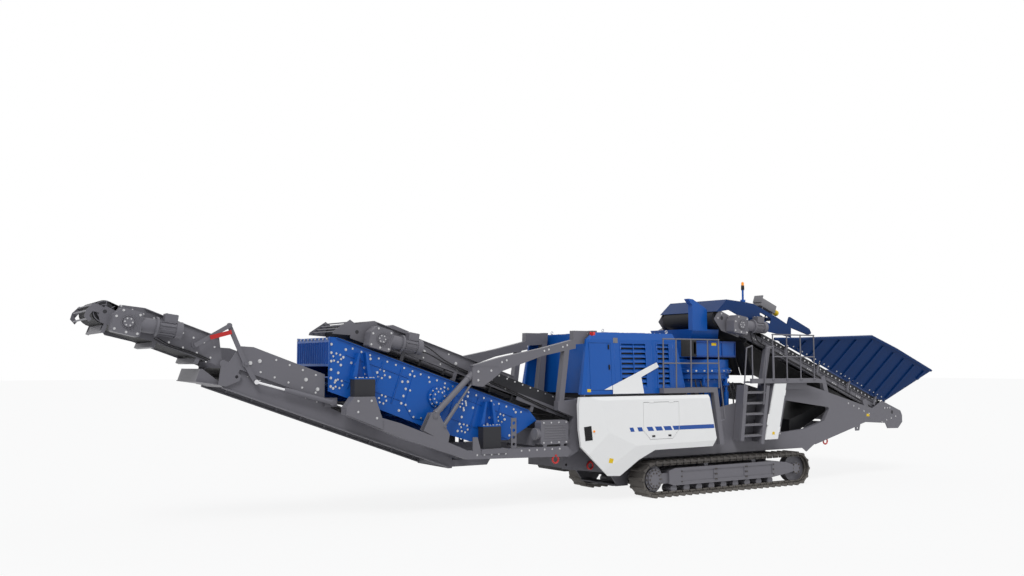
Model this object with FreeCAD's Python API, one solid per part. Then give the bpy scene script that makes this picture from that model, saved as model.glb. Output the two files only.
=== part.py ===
import FreeCAD, Part
import math
import os

"""Tracked cone crusher with a screening unit: one STEP file per sub-part.

Lengths are millimetres and angles are degrees. The machine is drawn in its own
frame: X = 0 at the middle of the tracks, the feed hopper towards +X, the
screening unit towards -X, +Z up from the ground. The near side is -Y. The finished
pieces are moved along X so that the origin lies under the middle of the whole
machine.
"""

V = FreeCAD.Vector
Y_AXIS = V(0, 1, 0)

# Plate and clearance sizes
PLATE = 12
HEAVY_PLATE = 25
COVER_WALL = 40
SEAT = 0.3
JOINT_GAP = 12
RUN_FIT = 0.08

# Tracks
TRACK_HALF_WIDTH = 1450
SHOE_WIDTH = 500
TRACK_TOP = 850
SHOE_BODY = 45
LUG_HEIGHT = 30
SHOES_PER_SIDE = 56
SPROCKET_X, SPROCKET_Z = -2370, 425
IDLER_X, IDLER_Z = 2390, 425
TRACK_FRAME_X0, TRACK_FRAME_X1 = -1920, 2000
TRACK_FRAME_Z0, TRACK_FRAME_Z1 = 250, 650

# Chassis
CHASSIS_HALF = 1150
CHASSIS_FRONT = -4300
DECK_Z = 2260
DECK_X = (-3700, -1300)
SEAM_HALF = CHASSIS_HALF + 140
AXLE_X = (-1300, 1300)
CARBODY_HALF = 800
# Lashing eyes near each end as (x, z)
LASH_R = 30
LASH_REAR = (5115, 1340)
LASH_FRONT = (-4380, 815)

# Covers, hood and engine
COVER_HALF = CHASSIS_HALF + 350
COVER_DEPTH = 170
HOOD_Z0, HOOD_Z1 = 2400, 3800
HOOD_HALF_LOW, HOOD_HALF_TOP = CHASSIS_HALF + 150, CHASSIS_HALF + 40
PLATFORM_HALF = CHASSIS_HALF + 320

# Feed conveyor and hopper
FEED_HEAD_X, FEED_HEAD_Z = 170, 4230
FEED_SLOPE = 21.2
FEED_LENGTH = 6900
FEED_HALF = 1050
FEED_DRUM_R = 200
HOPPER_HINGE_H = 190
HOPPER_HALF_LOW = 1100
HOPPER_FLARE = 33.0
HOPPER_WALL = 10
# Hinges of the hopper's side walls: where each moving barrel starts along the conveyor
HOPPER_HINGES = (2100, 3400, 4700, FEED_LENGTH - 1020)
HINGE_BARREL, HINGE_KNUCKLE, HINGE_BARREL_R = 240, 60, 24

# Crusher
CRUSHER_X = 40
CRUSHER_R = 900
BOWL_R = 1040
CRUSHER_Z0, CRUSHER_FLANGE_Z, CRUSHER_Z1 = 1400, 2660, 3250

# Crusher discharge conveyor
OUT_X, OUT_Z = -4050, 1850
OUT_SLOPE = 18.5
OUT_HALF = 650
OUT_HEAD_S = 5760
OUT_TAIL_S = -4200
OUT_DRUM_R = 165

# Screening unit
SCREEN_X, SCREEN_Z = -10180, 3610
SCREEN_SLOPE = 18.7
SCREEN_HALF = 850
SCREEN_LENGTH = 5080
BEAM_HALF_OUT, BEAM_HALF_IN = 1180, 1000

# Fines conveyor
FOLD_X, FOLD_Z = -12200, 3080
FINES_SLOPE = 20.0
FINES_HALF = 700
HEAD_HALF = 680
FINES_DRUM_R = 190
FINES_DRUM_S, FINES_DRUM_H = 2275, 140
BELT = 14
# End drums of the lower fines belt as (x, z, radius), and the tubes that tie its trough
FINES_RUN = ((-7620, 1280, 120), (-12060, 2895, 110))
TIE_TUBE_R = 40

# Platforms and ladder
RAIL_R = 17
STEPS = 5


def cyl(p0, p1, radius):
    """Return a round bar from p0 to p1."""
    a, b = V(*p0), V(*p1)
    return Part.makeCylinder(radius, (b - a).Length, a, b - a)


def cyl_y(x, z, radius, y0, y1):
    """Return a round bar across the machine."""
    return cyl((x, y0, z), (x, y1, z), radius)


def box(x0, x1, y0, y1, z0, z1):
    """Return a block between two corners."""
    return Part.makeBox(x1 - x0, y1 - y0, z1 - z0, V(x0, y0, z0))


def side(points, y0, y1):
    """Return an outline of (x, z) points, pulled from y0 to y1."""
    wire = Part.makePolygon([V(x, y0, z) for x, z in points + points[:1]])
    return Part.Face(wire).extrude(V(0, y1 - y0, 0))


def rounded(points, radius, y0, y1):
    """Return side() with its corners along Y rounded to one radius."""
    solid = side(points, y0, y1)
    edges = [e for e in solid.Edges if abs(e.tangentAt(e.FirstParameter).y) > 0.99]
    return solid.makeFillet(radius, edges)


def flat(points):
    """Return a flat face through its corners."""
    return Part.Face(Part.makePolygon(points + points[:1]))


def loft(sections):
    """Return a solid with flat sides through closed outlines of (x, y, z) points."""
    rings = [[V(*p) for p in s] for s in sections]
    faces = [flat(rings[0]), flat(rings[-1])]
    for a, b in zip(rings, rings[1:]):
        for i in range(len(a)):
            j = (i + 1) % len(a)
            quad = [a[i], a[j], b[j], b[i]]
            normal = (quad[1] - quad[0]).cross(quad[3] - quad[0]).normalize()
            if abs((quad[2] - quad[0]).dot(normal)) < 1e-6:
                faces.append(flat(quad))
            else:
                faces += [flat(quad[:3]), flat([quad[0], quad[2], quad[3]])]
    solid = Part.Solid(Part.Shell(Part.makeShell(faces).Faces))
    if solid.Volume < 0:
        solid.reverse()
    return solid


def bar(p0, p1, depth, y0, y1):
    """Return a flat bar in the side view whose middle line runs from p0 to p1."""
    dx, dz = p1[0] - p0[0], p1[1] - p0[1]
    n = math.hypot(dx, dz)
    ox, oz = -dz / n * depth / 2, dx / n * depth / 2
    pts = [(p0[0] + ox, p0[1] + oz), (p1[0] + ox, p1[1] + oz),
           (p1[0] - ox, p1[1] - oz), (p0[0] - ox, p0[1] - oz)]
    return side(pts, y0, y1)


def link(p0, p1, r0, r1, y0, y1):
    """Return a flat link with round ends about p0 and p1."""
    body = bar(p0, p1, 2 * min(r0, r1) * 0.9, y0, y1)
    return fuse([body, cyl_y(p0[0], p0[1], r0, y0, y1), cyl_y(p1[0], p1[1], r1, y0, y1)])


def fuse(shapes):
    """Return one solid from pieces that touch or overlap."""
    out = shapes[0]
    if len(shapes) > 1:
        out = out.multiFuse(shapes[1:])
    return out.removeSplitter()


def mirror(shape):
    """Return the shape's twin on the other side of the machine."""
    return shape.mirror(V(0, 0, 0), Y_AXIS)


def both(shape):
    """Return the near shape and its far twin."""
    return [shape, mirror(shape)]


class Slope:
    """A sloping line of the side view: s runs along it and h square to it, upwards."""

    def __init__(self, x, z, angle, left):
        """Start at (x, z); angle is its slope and left says that s runs to -X."""
        self.x, self.z = x, z
        a = math.radians(angle)
        way = -1 if left else 1
        rise = 1 if left else -1
        self.u = (way * math.cos(a), rise * math.sin(a))
        self.n = (math.sin(a), math.cos(a))

    def at(self, s, h):
        """Return the (x, z) of a place on the slope."""
        return (self.x + s * self.u[0] + h * self.n[0],
                self.z + s * self.u[1] + h * self.n[1])

    def plate(self, points, y0, y1):
        """Return an outline of (s, h) points, pulled from y0 to y1."""
        return side([self.at(s, h) for s, h in points], y0, y1)

    def block(self, s0, s1, h0, h1, y0, y1):
        """Return a block lying along the slope."""
        return self.plate([(s0, h0), (s1, h0), (s1, h1), (s0, h1)], y0, y1)

    def rod(self, s, h, radius, y0, y1):
        """Return a round bar across the slope."""
        x, z = self.at(s, h)
        return cyl_y(x, z, radius, y0, y1)


FEED = Slope(FEED_HEAD_X, FEED_HEAD_Z, FEED_SLOPE, False)
OUT = Slope(OUT_X, OUT_Z, OUT_SLOPE, True)
SCREEN = Slope(SCREEN_X, SCREEN_Z, SCREEN_SLOPE, False)
HEAD = Slope(FOLD_X, FOLD_Z, FINES_SLOPE, True)

# Belt loops as (s0, h0, r0, s1, h1, r1): place and radius of the two drums
FEED_RUN = (0, 0, FEED_DRUM_R, FEED_LENGTH, 0, 190)
OUT_RUN = (OUT_TAIL_S, 0, 75, OUT_HEAD_S, 45, OUT_DRUM_R)
HEAD_RUN = (190, 90, 90, FINES_DRUM_S, FINES_DRUM_H, FINES_DRUM_R)


def belt_loop(line, s0, h0, r0, s1, h1, r1, half):
    """Return a belt with its two drums' radii left free inside it."""
    def band(extra):
        a, b = line.at(s0, h0), line.at(s1, h1)
        ends = [cyl_y(a[0], a[1], r0 + extra, -half, half), cyl_y(b[0], b[1], r1 + extra, -half, half)]
        d = math.hypot(b[0] - a[0], b[1] - a[1])
        lean = math.asin((r0 - r1) / d)
        ux, uz = (b[0] - a[0]) / d, (b[1] - a[1]) / d
        def off(p, r, way):
            nx = -uz * math.cos(lean) * way + ux * math.sin(lean)
            nz = ux * math.cos(lean) * way + uz * math.sin(lean)
            return (p[0] + nx * (r + extra), p[1] + nz * (r + extra))
        mid = side([off(a, r0, 1), off(b, r1, 1), off(b, r1, -1), off(a, r0, -1)], -half, half)
        return fuse([mid] + ends)
    return band(BELT).cut(band(0))


def upper_run(s, s0, h0, r0, s1, h1, r1):
    """Return the height of a belt loop's upper inner face at s."""
    lean = math.atan2(h1 - h0, s1 - s0) + math.asin((r1 - r0) / math.hypot(s1 - s0, h1 - h0))
    return h0 + r0 / math.cos(lean) + (s - s0) * math.tan(lean)


def rollers(line, run, places, radius, half):
    """Return carrying rollers that seat under a belt loop's upper run."""
    return [line.rod(s, upper_run(s, *run) - radius - SEAT, radius, -half, half) for s in places]


def drum(line, s, h, radius, half, shaft_r, shaft_half):
    """Return a belt drum on its shaft, lagged with shallow grooves."""
    x, z = line.at(s, h)
    return fuse([cyl_y(x, z, radius - JOINT_GAP, -half, half), cyl_y(x, z, shaft_r, -shaft_half, shaft_half)])


def gear_motor(x, z, y_wall, length, angle):
    """Return a bevel gearbox on the wall at y_wall, its motor lying along the conveyor."""
    half = 135
    mid = y_wall - 60 - half
    case = rounded([(x - 300, z - 200), (x + 190, z - 240), (x + 190, z + 200), (x - 180, z + 240), (x - 300, z + 100)],
                   50, mid - half, mid + half)
    boss = cyl_y(x - 40, z, 95, mid - half - 30, y_wall)
    neck = cyl((x + 150, mid, z), (x + 470, mid, z), half)
    ring = cyl((x + 440, mid, z), (x + 480, mid, z), half + 40)
    r = half - 5
    body = cyl((x + 480, mid, z), (x + 480 + length, mid, z), r)
    fins = []
    for i in range(12):
        fin = box(x + 520, x + 460 + length * 0.72, mid - 6, mid + 6, z + r - 15, z + r + 24)
        fin.rotate(V(x, mid, z), V(1, 0, 0), i * 30 + 15)
        fins.append(fin)
    fan = cyl((x + 480 + length * 0.74, mid, z), (x + 480 + length, mid, z), r + 22)
    terminal = rounded([(x + 570, z + r - 20), (x + 800, z + r - 20), (x + 800, z + r + 130), (x + 570, z + r + 130)],
                       15, mid - 90, mid + 90)
    out = fuse([case, boss, neck, ring, body, fan, terminal] + fins)
    out.rotate(V(x, mid, z), Y_AXIS, angle)
    return out


def track_loop():
    """Return the near track: a closed band with one lug bar on each shoe."""
    y0, y1 = -TRACK_HALF_WIDTH, -TRACK_HALF_WIDTH + SHOE_WIDTH
    z_mid = TRACK_TOP / 2
    r_out = z_mid - LUG_HEIGHT
    straight = IDLER_X - SPROCKET_X
    run = 2 * straight + 2 * math.pi * r_out
    pitch = run / SHOES_PER_SIDE
    lug = pitch * 0.3
    points = []
    for i in range(SHOES_PER_SIDE):
        # Each shoe gives (distance along the loop, height above the band)
        for d, h in ((0, 0), (lug * 0.3, LUG_HEIGHT), (lug, LUG_HEIGHT), (lug * 1.3, 0)):
            points.append(loop_point(i * pitch + d, r_out + h, straight, r_out))
    wire = Part.makePolygon([V(x, y0, z + z_mid) for x, z in points + points[:1]])
    band = Part.Face(wire).extrude(V(0, y1 - y0, 0))
    inner_r = r_out - SHOE_BODY
    hole = fuse([box(SPROCKET_X, IDLER_X, y0 - 1, y1 + 1, z_mid - inner_r, z_mid + inner_r)]
                + [cyl_y(x, z_mid, inner_r, y0 - 1, y1 + 1) for x in (SPROCKET_X, IDLER_X)])
    return band.cut(hole)


def loop_point(d, r, straight, r_run):
    """Return the (x, z) at distance d round the track, r from its middle line."""
    half_turn = math.pi * r_run
    total = 2 * straight + 2 * half_turn
    d = d % total
    if d < straight:
        return (SPROCKET_X + d, r)
    if d < straight + half_turn:
        a = math.pi / 2 - (d - straight) / r_run
        return (IDLER_X + r * math.cos(a), r * math.sin(a))
    if d < 2 * straight + half_turn:
        return (IDLER_X - (d - straight - half_turn), -r)
    a = -math.pi / 2 - (d - 2 * straight - half_turn) / r_run
    return (SPROCKET_X + r * math.cos(a), r * math.sin(a))


def track_frame():
    """Return the near track frame with its final drive, idler and rollers."""
    z_mid = TRACK_TOP / 2
    inner_r = z_mid - LUG_HEIGHT - SHOE_BODY - SEAT
    y_out, y_in = -TRACK_HALF_WIDTH + 60, -TRACK_HALF_WIDTH + SHOE_WIDTH - 40
    main = side([(TRACK_FRAME_X0, 300), (TRACK_FRAME_X0 + 150, TRACK_FRAME_Z0), (1500, TRACK_FRAME_Z0),
                 (TRACK_FRAME_X1, 310), (2250, 350), (2250, 520), (TRACK_FRAME_X1, 600),
                 (1500, TRACK_FRAME_Z1), (TRACK_FRAME_X0 + 200, TRACK_FRAME_Z1), (TRACK_FRAME_X0, 600)],
                y_out, y_in)
    for x0, x1 in ((-1500, -500), (-380, 520), (640, 1500)):
        main = main.cut(box(x0, x1, y_out - 1, y_out + 18, 330, 570))
    yoke = bar((TRACK_FRAME_X0, z_mid), (SPROCKET_X, z_mid), 240, y_out + 60, y_in - 60)
    drive = [cyl_y(SPROCKET_X, z_mid, inner_r - 25, y_out + 110, y_in - 110),
             cyl_y(SPROCKET_X, z_mid, 250, y_out + 20, y_in),
             cyl_y(SPROCKET_X, z_mid, 190, y_out - 20, y_out + 60)]
    idler = [cyl_y(IDLER_X, z_mid, inner_r, y_out + 110, y_in - 110),
             cyl_y(IDLER_X, z_mid, 130, y_out + 20, y_in)]
    low = [cyl_y(x, z_mid - inner_r + 95, 95, y_out + 40, y_in - 40) for x in range(-1750, 1500, 400)]
    high = [cyl_y(x, z_mid + inner_r - 70, 70, y_out + 60, y_in - 60) for x in (-700, 900)]
    mounts = [box(x - 260, x + 260, y_in - 5, -CARBODY_HALF, 300, 640) for x in AXLE_X]
    return fuse([main, yoke] + drive + idler + low + high + mounts)


def chassis():
    """Return the welded chassis: side plates, carbody, cross members and deck."""
    outer, inner = -CHASSIS_HALF, -CHASSIS_HALF + HEAVY_PLATE
    plate = side([(CHASSIS_FRONT, DECK_Z), (CHASSIS_FRONT, 1150), (-3650, 950), (-2950, 950), (-2850, 900),
                  (2900, 900), (3050, 800), (3360, 980), (5190, 1430), (5450, 1490), (6310, 1440), (6400, 1290),
                  (6850, 1280), (7050, 1450), (7050, 1640), (6980, 1770), (6180, 2060), (5750, 1860), (3680, 2400),
                  (3000, 2560), (1500, 2560), (1300, 2250), (-500, 1950), (-1240, 1950), (-1240, DECK_Z)], outer, inner)
    hole = rounded([(2290, 2150), (4000, 1930), (3760, 1580), (3010, 1390), (2070, 1320)], 60, outer - 1, inner + 1)
    plate = plate.cut(hole)
    rim = rounded([(2260, 2190), (4050, 1960), (3790, 1550), (3020, 1350), (2020, 1280)], 70, inner, inner + 80)
    rim = rim.cut(rounded([(2290, 2150), (4000, 1930), (3760, 1580), (3010, 1390), (2070, 1320)], 60,
                          inner - 1, inner + 81))
    lash = side([(5010, 1395), (5030, 1270), (5180, 1270), (5230, 1450)], outer, inner)
    lash = lash.cut(cyl_y(*LASH_REAR, LASH_R, outer - 1, inner + 1))
    flange = bar((3400, 985), (5190, 1430), 30, outer, inner + 120)
    parts = both(fuse([plate, rim, flange, lash]))
    for y in (-CARBODY_HALF, 690):
        parts.append(box(-1900, 1900, y, y + CARBODY_HALF - 690, 340, 1190))
    # The crusher's two bearers with the outriggers that carry them
    for y in (-860, 700):
        parts.append(box(-1250, 1250, y, y + 160, 1180, CRUSHER_Z0))
    # Cross members, each as (x0, x1, z0, z1), then the ones between the carbody's sides
    for x0, x1, z0, z1 in ((-4215, -4100, 1150, 1400), (2800, 2950, 910, 1200),
                           (4500, 4650, 1300, 1500), (5600, 5720, 1500, 1700)):
        parts.append(box(x0, x1, inner - 1, -inner + 1, z0, z1))
    for x0, x1, z0, z1 in ((-1900, -1500, 340, 560), (600, 1900, 340, 720)):
        parts.append(box(x0, x1, -CARBODY_HALF, CARBODY_HALF, z0, z1))
    for x in (-1000, 850):
        parts += both(box(x, x + 120, inner - 1, -850, 1240, CRUSHER_Z0))
    # Engine deck, the seam beam under the hood and the brackets that carry the covers
    parts.append(box(*DECK_X, inner - 1, -inner + 1, DECK_Z, DECK_Z + 20))
    parts += both(box(CHASSIS_FRONT, HOOD_X["low"][1] - 20, -SEAM_HALF, inner, DECK_Z - 1, HOOD_Z0))
    for x, z in ((-3300, 2120), (-1500, 2120), (-850, 1800)):
        parts += both(box(x, x + 60, -COVER_HALF + COVER_WALL + SEAT, outer + 1, z, z + 70))
    # Front nose that carries the screening unit's hooks
    for y in (-700, 660):
        parts.append(side([(-3150, 560), (-2900, 240), (-2600, 240), (-2600, 500), (-1880, 545), (-1880, 700),
                           (-2950, 1000), (-4150, 1155), (-4480, 1155), (-4480, 720), (-4250, 690)], y, y + 40))
    parts.append(box(-2950, -2600, -700, 700, 240, 275))
    parts.append(box(-4480, -4440, -700, 700, 740, 1155))
    parts.append(box(-4150, -4050, -700, 700, 1140, 1240))
    parts = [fuse(parts).cut(cyl_y(*LASH_FRONT, LASH_R, -800, 800))]
    tail_bore = FEED.rod(FEED_LENGTH, 0, 50 + RUN_FIT, outer - 1, -outer + 1)
    return fuse(parts).cut(tail_bore)


# The white cover's outline, from its top edge round to the step behind the track
COVER_OUTLINE = [(-4510, 2350), (-720, 2350), (-500, 1310), (-600, 1120), (-2410, 1110), (-2860, 900),
                 (-3340, 560), (-3700, 580), (-4460, 1250), (-4520, 1630), (-4540, 2180)]
# Its folds: each cuts the skin back outside the line from (x, z) to (x, z)
COVER_FOLDS = [((-3760, 1550), (-4010, 2300), 9), ((-2970, 1230), (-3760, 1550), 9),
               ((-3600, 2270), (-600, 2270), 25), ((-500, 1260), (-2970, 1230), 14)]
HATCH_OUTLINE = [(-2770, 2200), (-1700, 2200), (-1700, 1560), (-1900, 1360), (-2570, 1360), (-2770, 1560)]


def beyond(p0, p1, angle, y):
    """Return a wedge that takes away what lies left of p0 to p1, leaning back by angle."""
    dx, dz = p1[0] - p0[0], p1[1] - p0[1]
    n = math.hypot(dx, dz)
    size = 6000
    wedge = Part.makeBox(size * 2, size, size, V(-size, -size, 0))
    wedge.rotate(V(0, 0, 0), V(1, 0, 0), -angle)
    wedge.rotate(V(0, 0, 0), Y_AXIS, -math.degrees(math.atan2(dz / n, dx / n)))
    wedge.translate(V(p0[0], y, p0[1]))
    return wedge


def cover():
    """Return the near white cover's skin with its folds."""
    y0, y1 = -COVER_HALF, -COVER_HALF + COVER_DEPTH
    skin = side(COVER_OUTLINE, y0, y1)
    for p0, p1, angle in COVER_FOLDS:
        skin = skin.cut(beyond(p0, p1, angle, y0))
    inner = skin.copy()
    inner.translate(V(0, COVER_WALL, 0))
    skin = skin.cut(inner.common(side(offset(COVER_OUTLINE, -COVER_WALL), y0, y1 + COVER_WALL)))
    return skin


def cover_near():
    """Return the near cover, with the opening for its flap."""
    hatch = side(offset(HATCH_OUTLINE, 8), -COVER_HALF - 1, -COVER_HALF + COVER_DEPTH + 1)
    return cover().cut(hatch).cut(hatch_knuckles(SEAT))


def hatch_knuckles(gap):
    """Return the flap's hinge barrels, fatter by gap, just proud of the cover."""
    y = -COVER_HALF - 6
    return Part.makeCompound([cyl((x - gap, y, 2204), (x + 120 + gap, y, 2204), 10 + gap) for x in (-2600, -2000)])


def offset(points, gap):
    """Return an outline moved outwards by gap, or inwards where gap is negative."""
    area = sum(p[0] * q[1] - q[0] * p[1] for p, q in zip(points, points[1:] + points[:1]))
    way = 1 if area > 0 else -1
    out = []
    for before, here, after in zip(points[-1:] + points[:-1], points, points[1:] + points[:1]):
        lines = []
        for p, q in ((before, here), (here, after)):
            n = math.hypot(q[0] - p[0], q[1] - p[1])
            nx, nz = (q[1] - p[1]) / n * way, -(q[0] - p[0]) / n * way
            lines.append((nx, nz, nx * p[0] + nz * p[1] + gap))
        (a, b, c), (d, e, f) = lines
        det = a * e - b * d
        out.append(((c * e - b * f) / det, (a * f - c * d) / det))
    return out


def hatch():
    """Return the flap in the near cover, with its hinge barrels along the top."""
    y0 = -COVER_HALF
    flap = side(HATCH_OUTLINE, y0, y0 + COVER_WALL)
    return fuse([flap] + hatch_knuckles(0).Solids)


def hood_section(z, half, x0, x1):
    """Return a level outline of the hood with its four corners cut."""
    c = 60
    return [(x0, -half + c, z), (x0 + c, -half, z), (x1 - c, -half, z), (x1, -half + c, z),
            (x1, half - c, z), (x1 - c, half, z), (x0 + c, half, z), (x0, half - c, z)]


HOOD_X = {"low": (-4340, -1220), "mid": (-4150, -1470), "top": (-3930, -1550)}
NOTCH_X, NOTCH_HALF = -3650, 1120
DOOR_X = (-4130, -3510)
LOUVRES = ((-3230, -2470), (-2140, -1760))
LOUVRE_Z = (2520, 3560)
LOUVRE_COUNT = 9


def hood_solid(inset):
    """Return the hood's body, smaller all round by inset."""
    lo, mid, top = (HOOD_X[k] for k in ("low", "mid", "top"))
    return loft([hood_section(HOOD_Z0 - (1 if inset else 0), HOOD_HALF_LOW - inset, lo[0] + inset, lo[1] - inset),
                 hood_section(HOOD_Z1 - 160 - inset, HOOD_HALF_TOP + 40 - inset, mid[0] + inset, mid[1] - inset),
                 hood_section(HOOD_Z1 - inset, HOOD_HALF_TOP - inset, top[0] + inset, top[1] - inset)])


def hood():
    """Return the hollow hood with louvres and a doorway on each side."""
    shell = hood_solid(0).cut(hood_solid(COVER_WALL))
    shell = shell.cut(box(-4500, NOTCH_X, -NOTCH_HALF, NOTCH_HALF, HOOD_Z0 - 10, HOOD_Z1 + 10))
    end = hood_solid(0).common(box(NOTCH_X - 1, NOTCH_X + COVER_WALL, -HOOD_HALF_LOW, HOOD_HALF_LOW, HOOD_Z0, HOOD_Z1))
    end = hood_solid(COVER_WALL).common(end).cut(box(NOTCH_X - 2, NOTCH_X + 50, -1300, -1175, HOOD_Z0 + 90, HOOD_Z1 - 240))
    depth = HOOD_HALF_LOW + 100
    for x0, x1 in LOUVRES:
        shell = shell.cut(box(x0, x1, -depth, depth, *LOUVRE_Z))
    shell = shell.cut(box(DOOR_X[0], DOOR_X[1], -depth, 0, HOOD_Z0 + 90, HOOD_Z1 - 240))
    slats = []
    step = (LOUVRE_Z[1] - LOUVRE_Z[0]) / LOUVRE_COUNT
    for x0, x1 in LOUVRES:
        for i in range(LOUVRE_COUNT):
            z = LOUVRE_Z[0] + (i + 0.5) * step
            y = -hood_half(z) + 12
            lean = [(y - 24, z - 38), (y - 18, z - 44), (y + 34, z + 30), (y + 28, z + 36)]
            wire = Part.makePolygon([V(x0 - 10, a, b) for a, b in lean + lean[:1]])
            slats += both(Part.Face(wire).extrude(V(x1 - x0 + 20, 0, 0)))
    return fuse([shell, end] + slats).cut(door_knuckles(SEAT))


def hood_half(z):
    """Return the hood's half width at height z, on its main leaning wall."""
    t = (z - HOOD_Z0) / (HOOD_Z1 - 160 - HOOD_Z0)
    return HOOD_HALF_LOW + (HOOD_HALF_TOP + 40 - HOOD_HALF_LOW) * t


def hood_door():
    """Return the near door: the piece of leaning wall that fills the doorway."""
    wall = hood_solid(0).cut(hood_solid(COVER_WALL))
    leaf = wall.common(box(DOOR_X[0] + 8, DOOR_X[1] - 8, -HOOD_HALF_LOW - 100, -1180, HOOD_Z0 + 98, HOOD_Z1 - 248))
    return fuse([leaf] + door_knuckles(0).Solids)


def door_knuckles(gap):
    """Return the door's hinge barrels along its left edge, fatter by gap."""
    x = DOOR_X[0] + 4
    out = []
    for z0 in (2600, 3350):
        z1 = z0 + 120
        out.append(cyl((x, -hood_half(z0 - gap) - 6, z0 - gap), (x, -hood_half(z1 + gap) - 6, z1 + gap), 10 + gap))
    return Part.makeCompound(out)


def engine():
    """Return the engine as one plain block."""
    return box(-3250, -1700, -550, 550, DECK_Z + 20 + SEAT, 3400)


def radiator():
    """Return the cooler pack behind the louvres."""
    return box(-3590, -3340, -800, 800, DECK_Z + 20 + SEAT, 3500)


def crusher_body():
    """Return the cone crusher: lower frame, clamping flange, ribbed bowl and hopper ring."""
    def turned(profile):
        wire = Part.makePolygon([V(CRUSHER_X + r, 0, z) for r, z in profile + profile[:1]])
        return Part.Face(wire).revolve(V(CRUSHER_X, 0, 0), V(0, 0, 1), 360)
    z0, zf, z1 = CRUSHER_Z0, CRUSHER_FLANGE_Z, CRUSHER_Z1
    shell = turned([(0, z0), (860, z0), (860, z0 + 60), (740, z0 + 110), (660, z0 + 160), (700, zf - 260), (880, zf - 160),
                    (CRUSHER_R, zf - 60), (CRUSHER_R, zf + 30), (BOWL_R - 50, zf + 60), (BOWL_R - 50, zf + 190),
                    (BOWL_R, zf + 210), (BOWL_R, zf + 300), (BOWL_R - 60, zf + 330), (BOWL_R - 60, z1 - 60), (640, z1),
                    (470, z1), (420, z1 - 250), (0, z1 - 300)])
    ribs = []
    for i in range(10):
        rib = side([(CRUSHER_X + 650, zf - 300), (CRUSHER_X + 860, zf - 150), (CRUSHER_X + 700, z0 + 100),
                    (CRUSHER_X + 650, z0 + 100)], -15, 15)
        rib.rotate(V(CRUSHER_X, 0, 0), V(0, 0, 1), i * 36)
        ribs.append(rib)
    return fuse([shell] + ribs + crusher_cylinders())


def crusher_cylinders():
    """Return the ring of upright relief cylinders beside the lower frame."""
    out = []
    for i in range(8):
        a = math.radians(i * 45 + 22.5)
        x, y = CRUSHER_X + 985 * math.cos(a), 985 * math.sin(a)
        out.append(fuse([cyl((x, y, 1650), (x, y, 2380), 62), cyl((x, y, 2380), (x, y, 2760), 38),
                         cyl((x, y, 2550), (x, y, 2600), 80),
                         box(x - 30, x + 30, y - 30, y + 30, 1560, 1660),
                         cyl((x, y, 2600), (CRUSHER_X + 880 * math.cos(a), 880 * math.sin(a), 2640), 40)]))
    return out


CHUTE_LOW, CHUTE_HIGH = 480, 800


def feed_chute():
    """Return the open chute above the crusher with its flared back wing."""
    x, z0, z1 = CRUSHER_X, CRUSHER_Z1 + SEAT, 3950
    def ring(inset, lift):
        lo = CHUTE_LOW - inset
        hi = CHUTE_HIGH - inset
        return [[(x - lo, -lo, z0 - lift), (x + lo, -lo, z0 - lift), (x + lo, lo, z0 - lift), (x - lo, lo, z0 - lift)],
                [(x - 620 + inset, -hi, z1 + lift), (x + 260 - inset, -hi, z1 + lift),
                 (x + 260 - inset, hi, z1 + lift), (x - 620 + inset, hi, z1 + lift)]]
    wall = 15
    funnel = loft(ring(0, 0)).cut(loft(ring(wall, 2)))
    wing = side([(x - 620, z1 - 30), (x - 600, z1 - 30), (x - 600, 4560), (x - 740, 4700), (x - 755, 4688),
                 (x - 620, 4540)], -CHUTE_HIGH, -CHUTE_HIGH + 150)
    cheek = side([(x - 620, z1 - 40), (x - 130, z1 - 40), (x - 130, 4430), (x - 180, 4480), (x - 600, 4690),
                  (x - 740, 4700), (x - 620, 4540)], -CHUTE_HIGH, -CHUTE_HIGH + wall)
    # Collar round the crusher's mouth
    collar = box(x - 700, x + 700, -CHUTE_HIGH - 130, CHUTE_HIGH + 130, z0, z0 + 400)
    collar = collar.cut(box(x - 700 + wall, x + 700 - wall, -CHUTE_HIGH - 115, CHUTE_HIGH + 115, z0 + 12, z0 + 410))
    collar = collar.cut(box(x - CHUTE_LOW + 10, x + CHUTE_LOW - 10, -CHUTE_LOW + 10, CHUTE_LOW - 10, z0 - 1, z0 + 20))
    return fuse([funnel, wing, cheek, collar])


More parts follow.
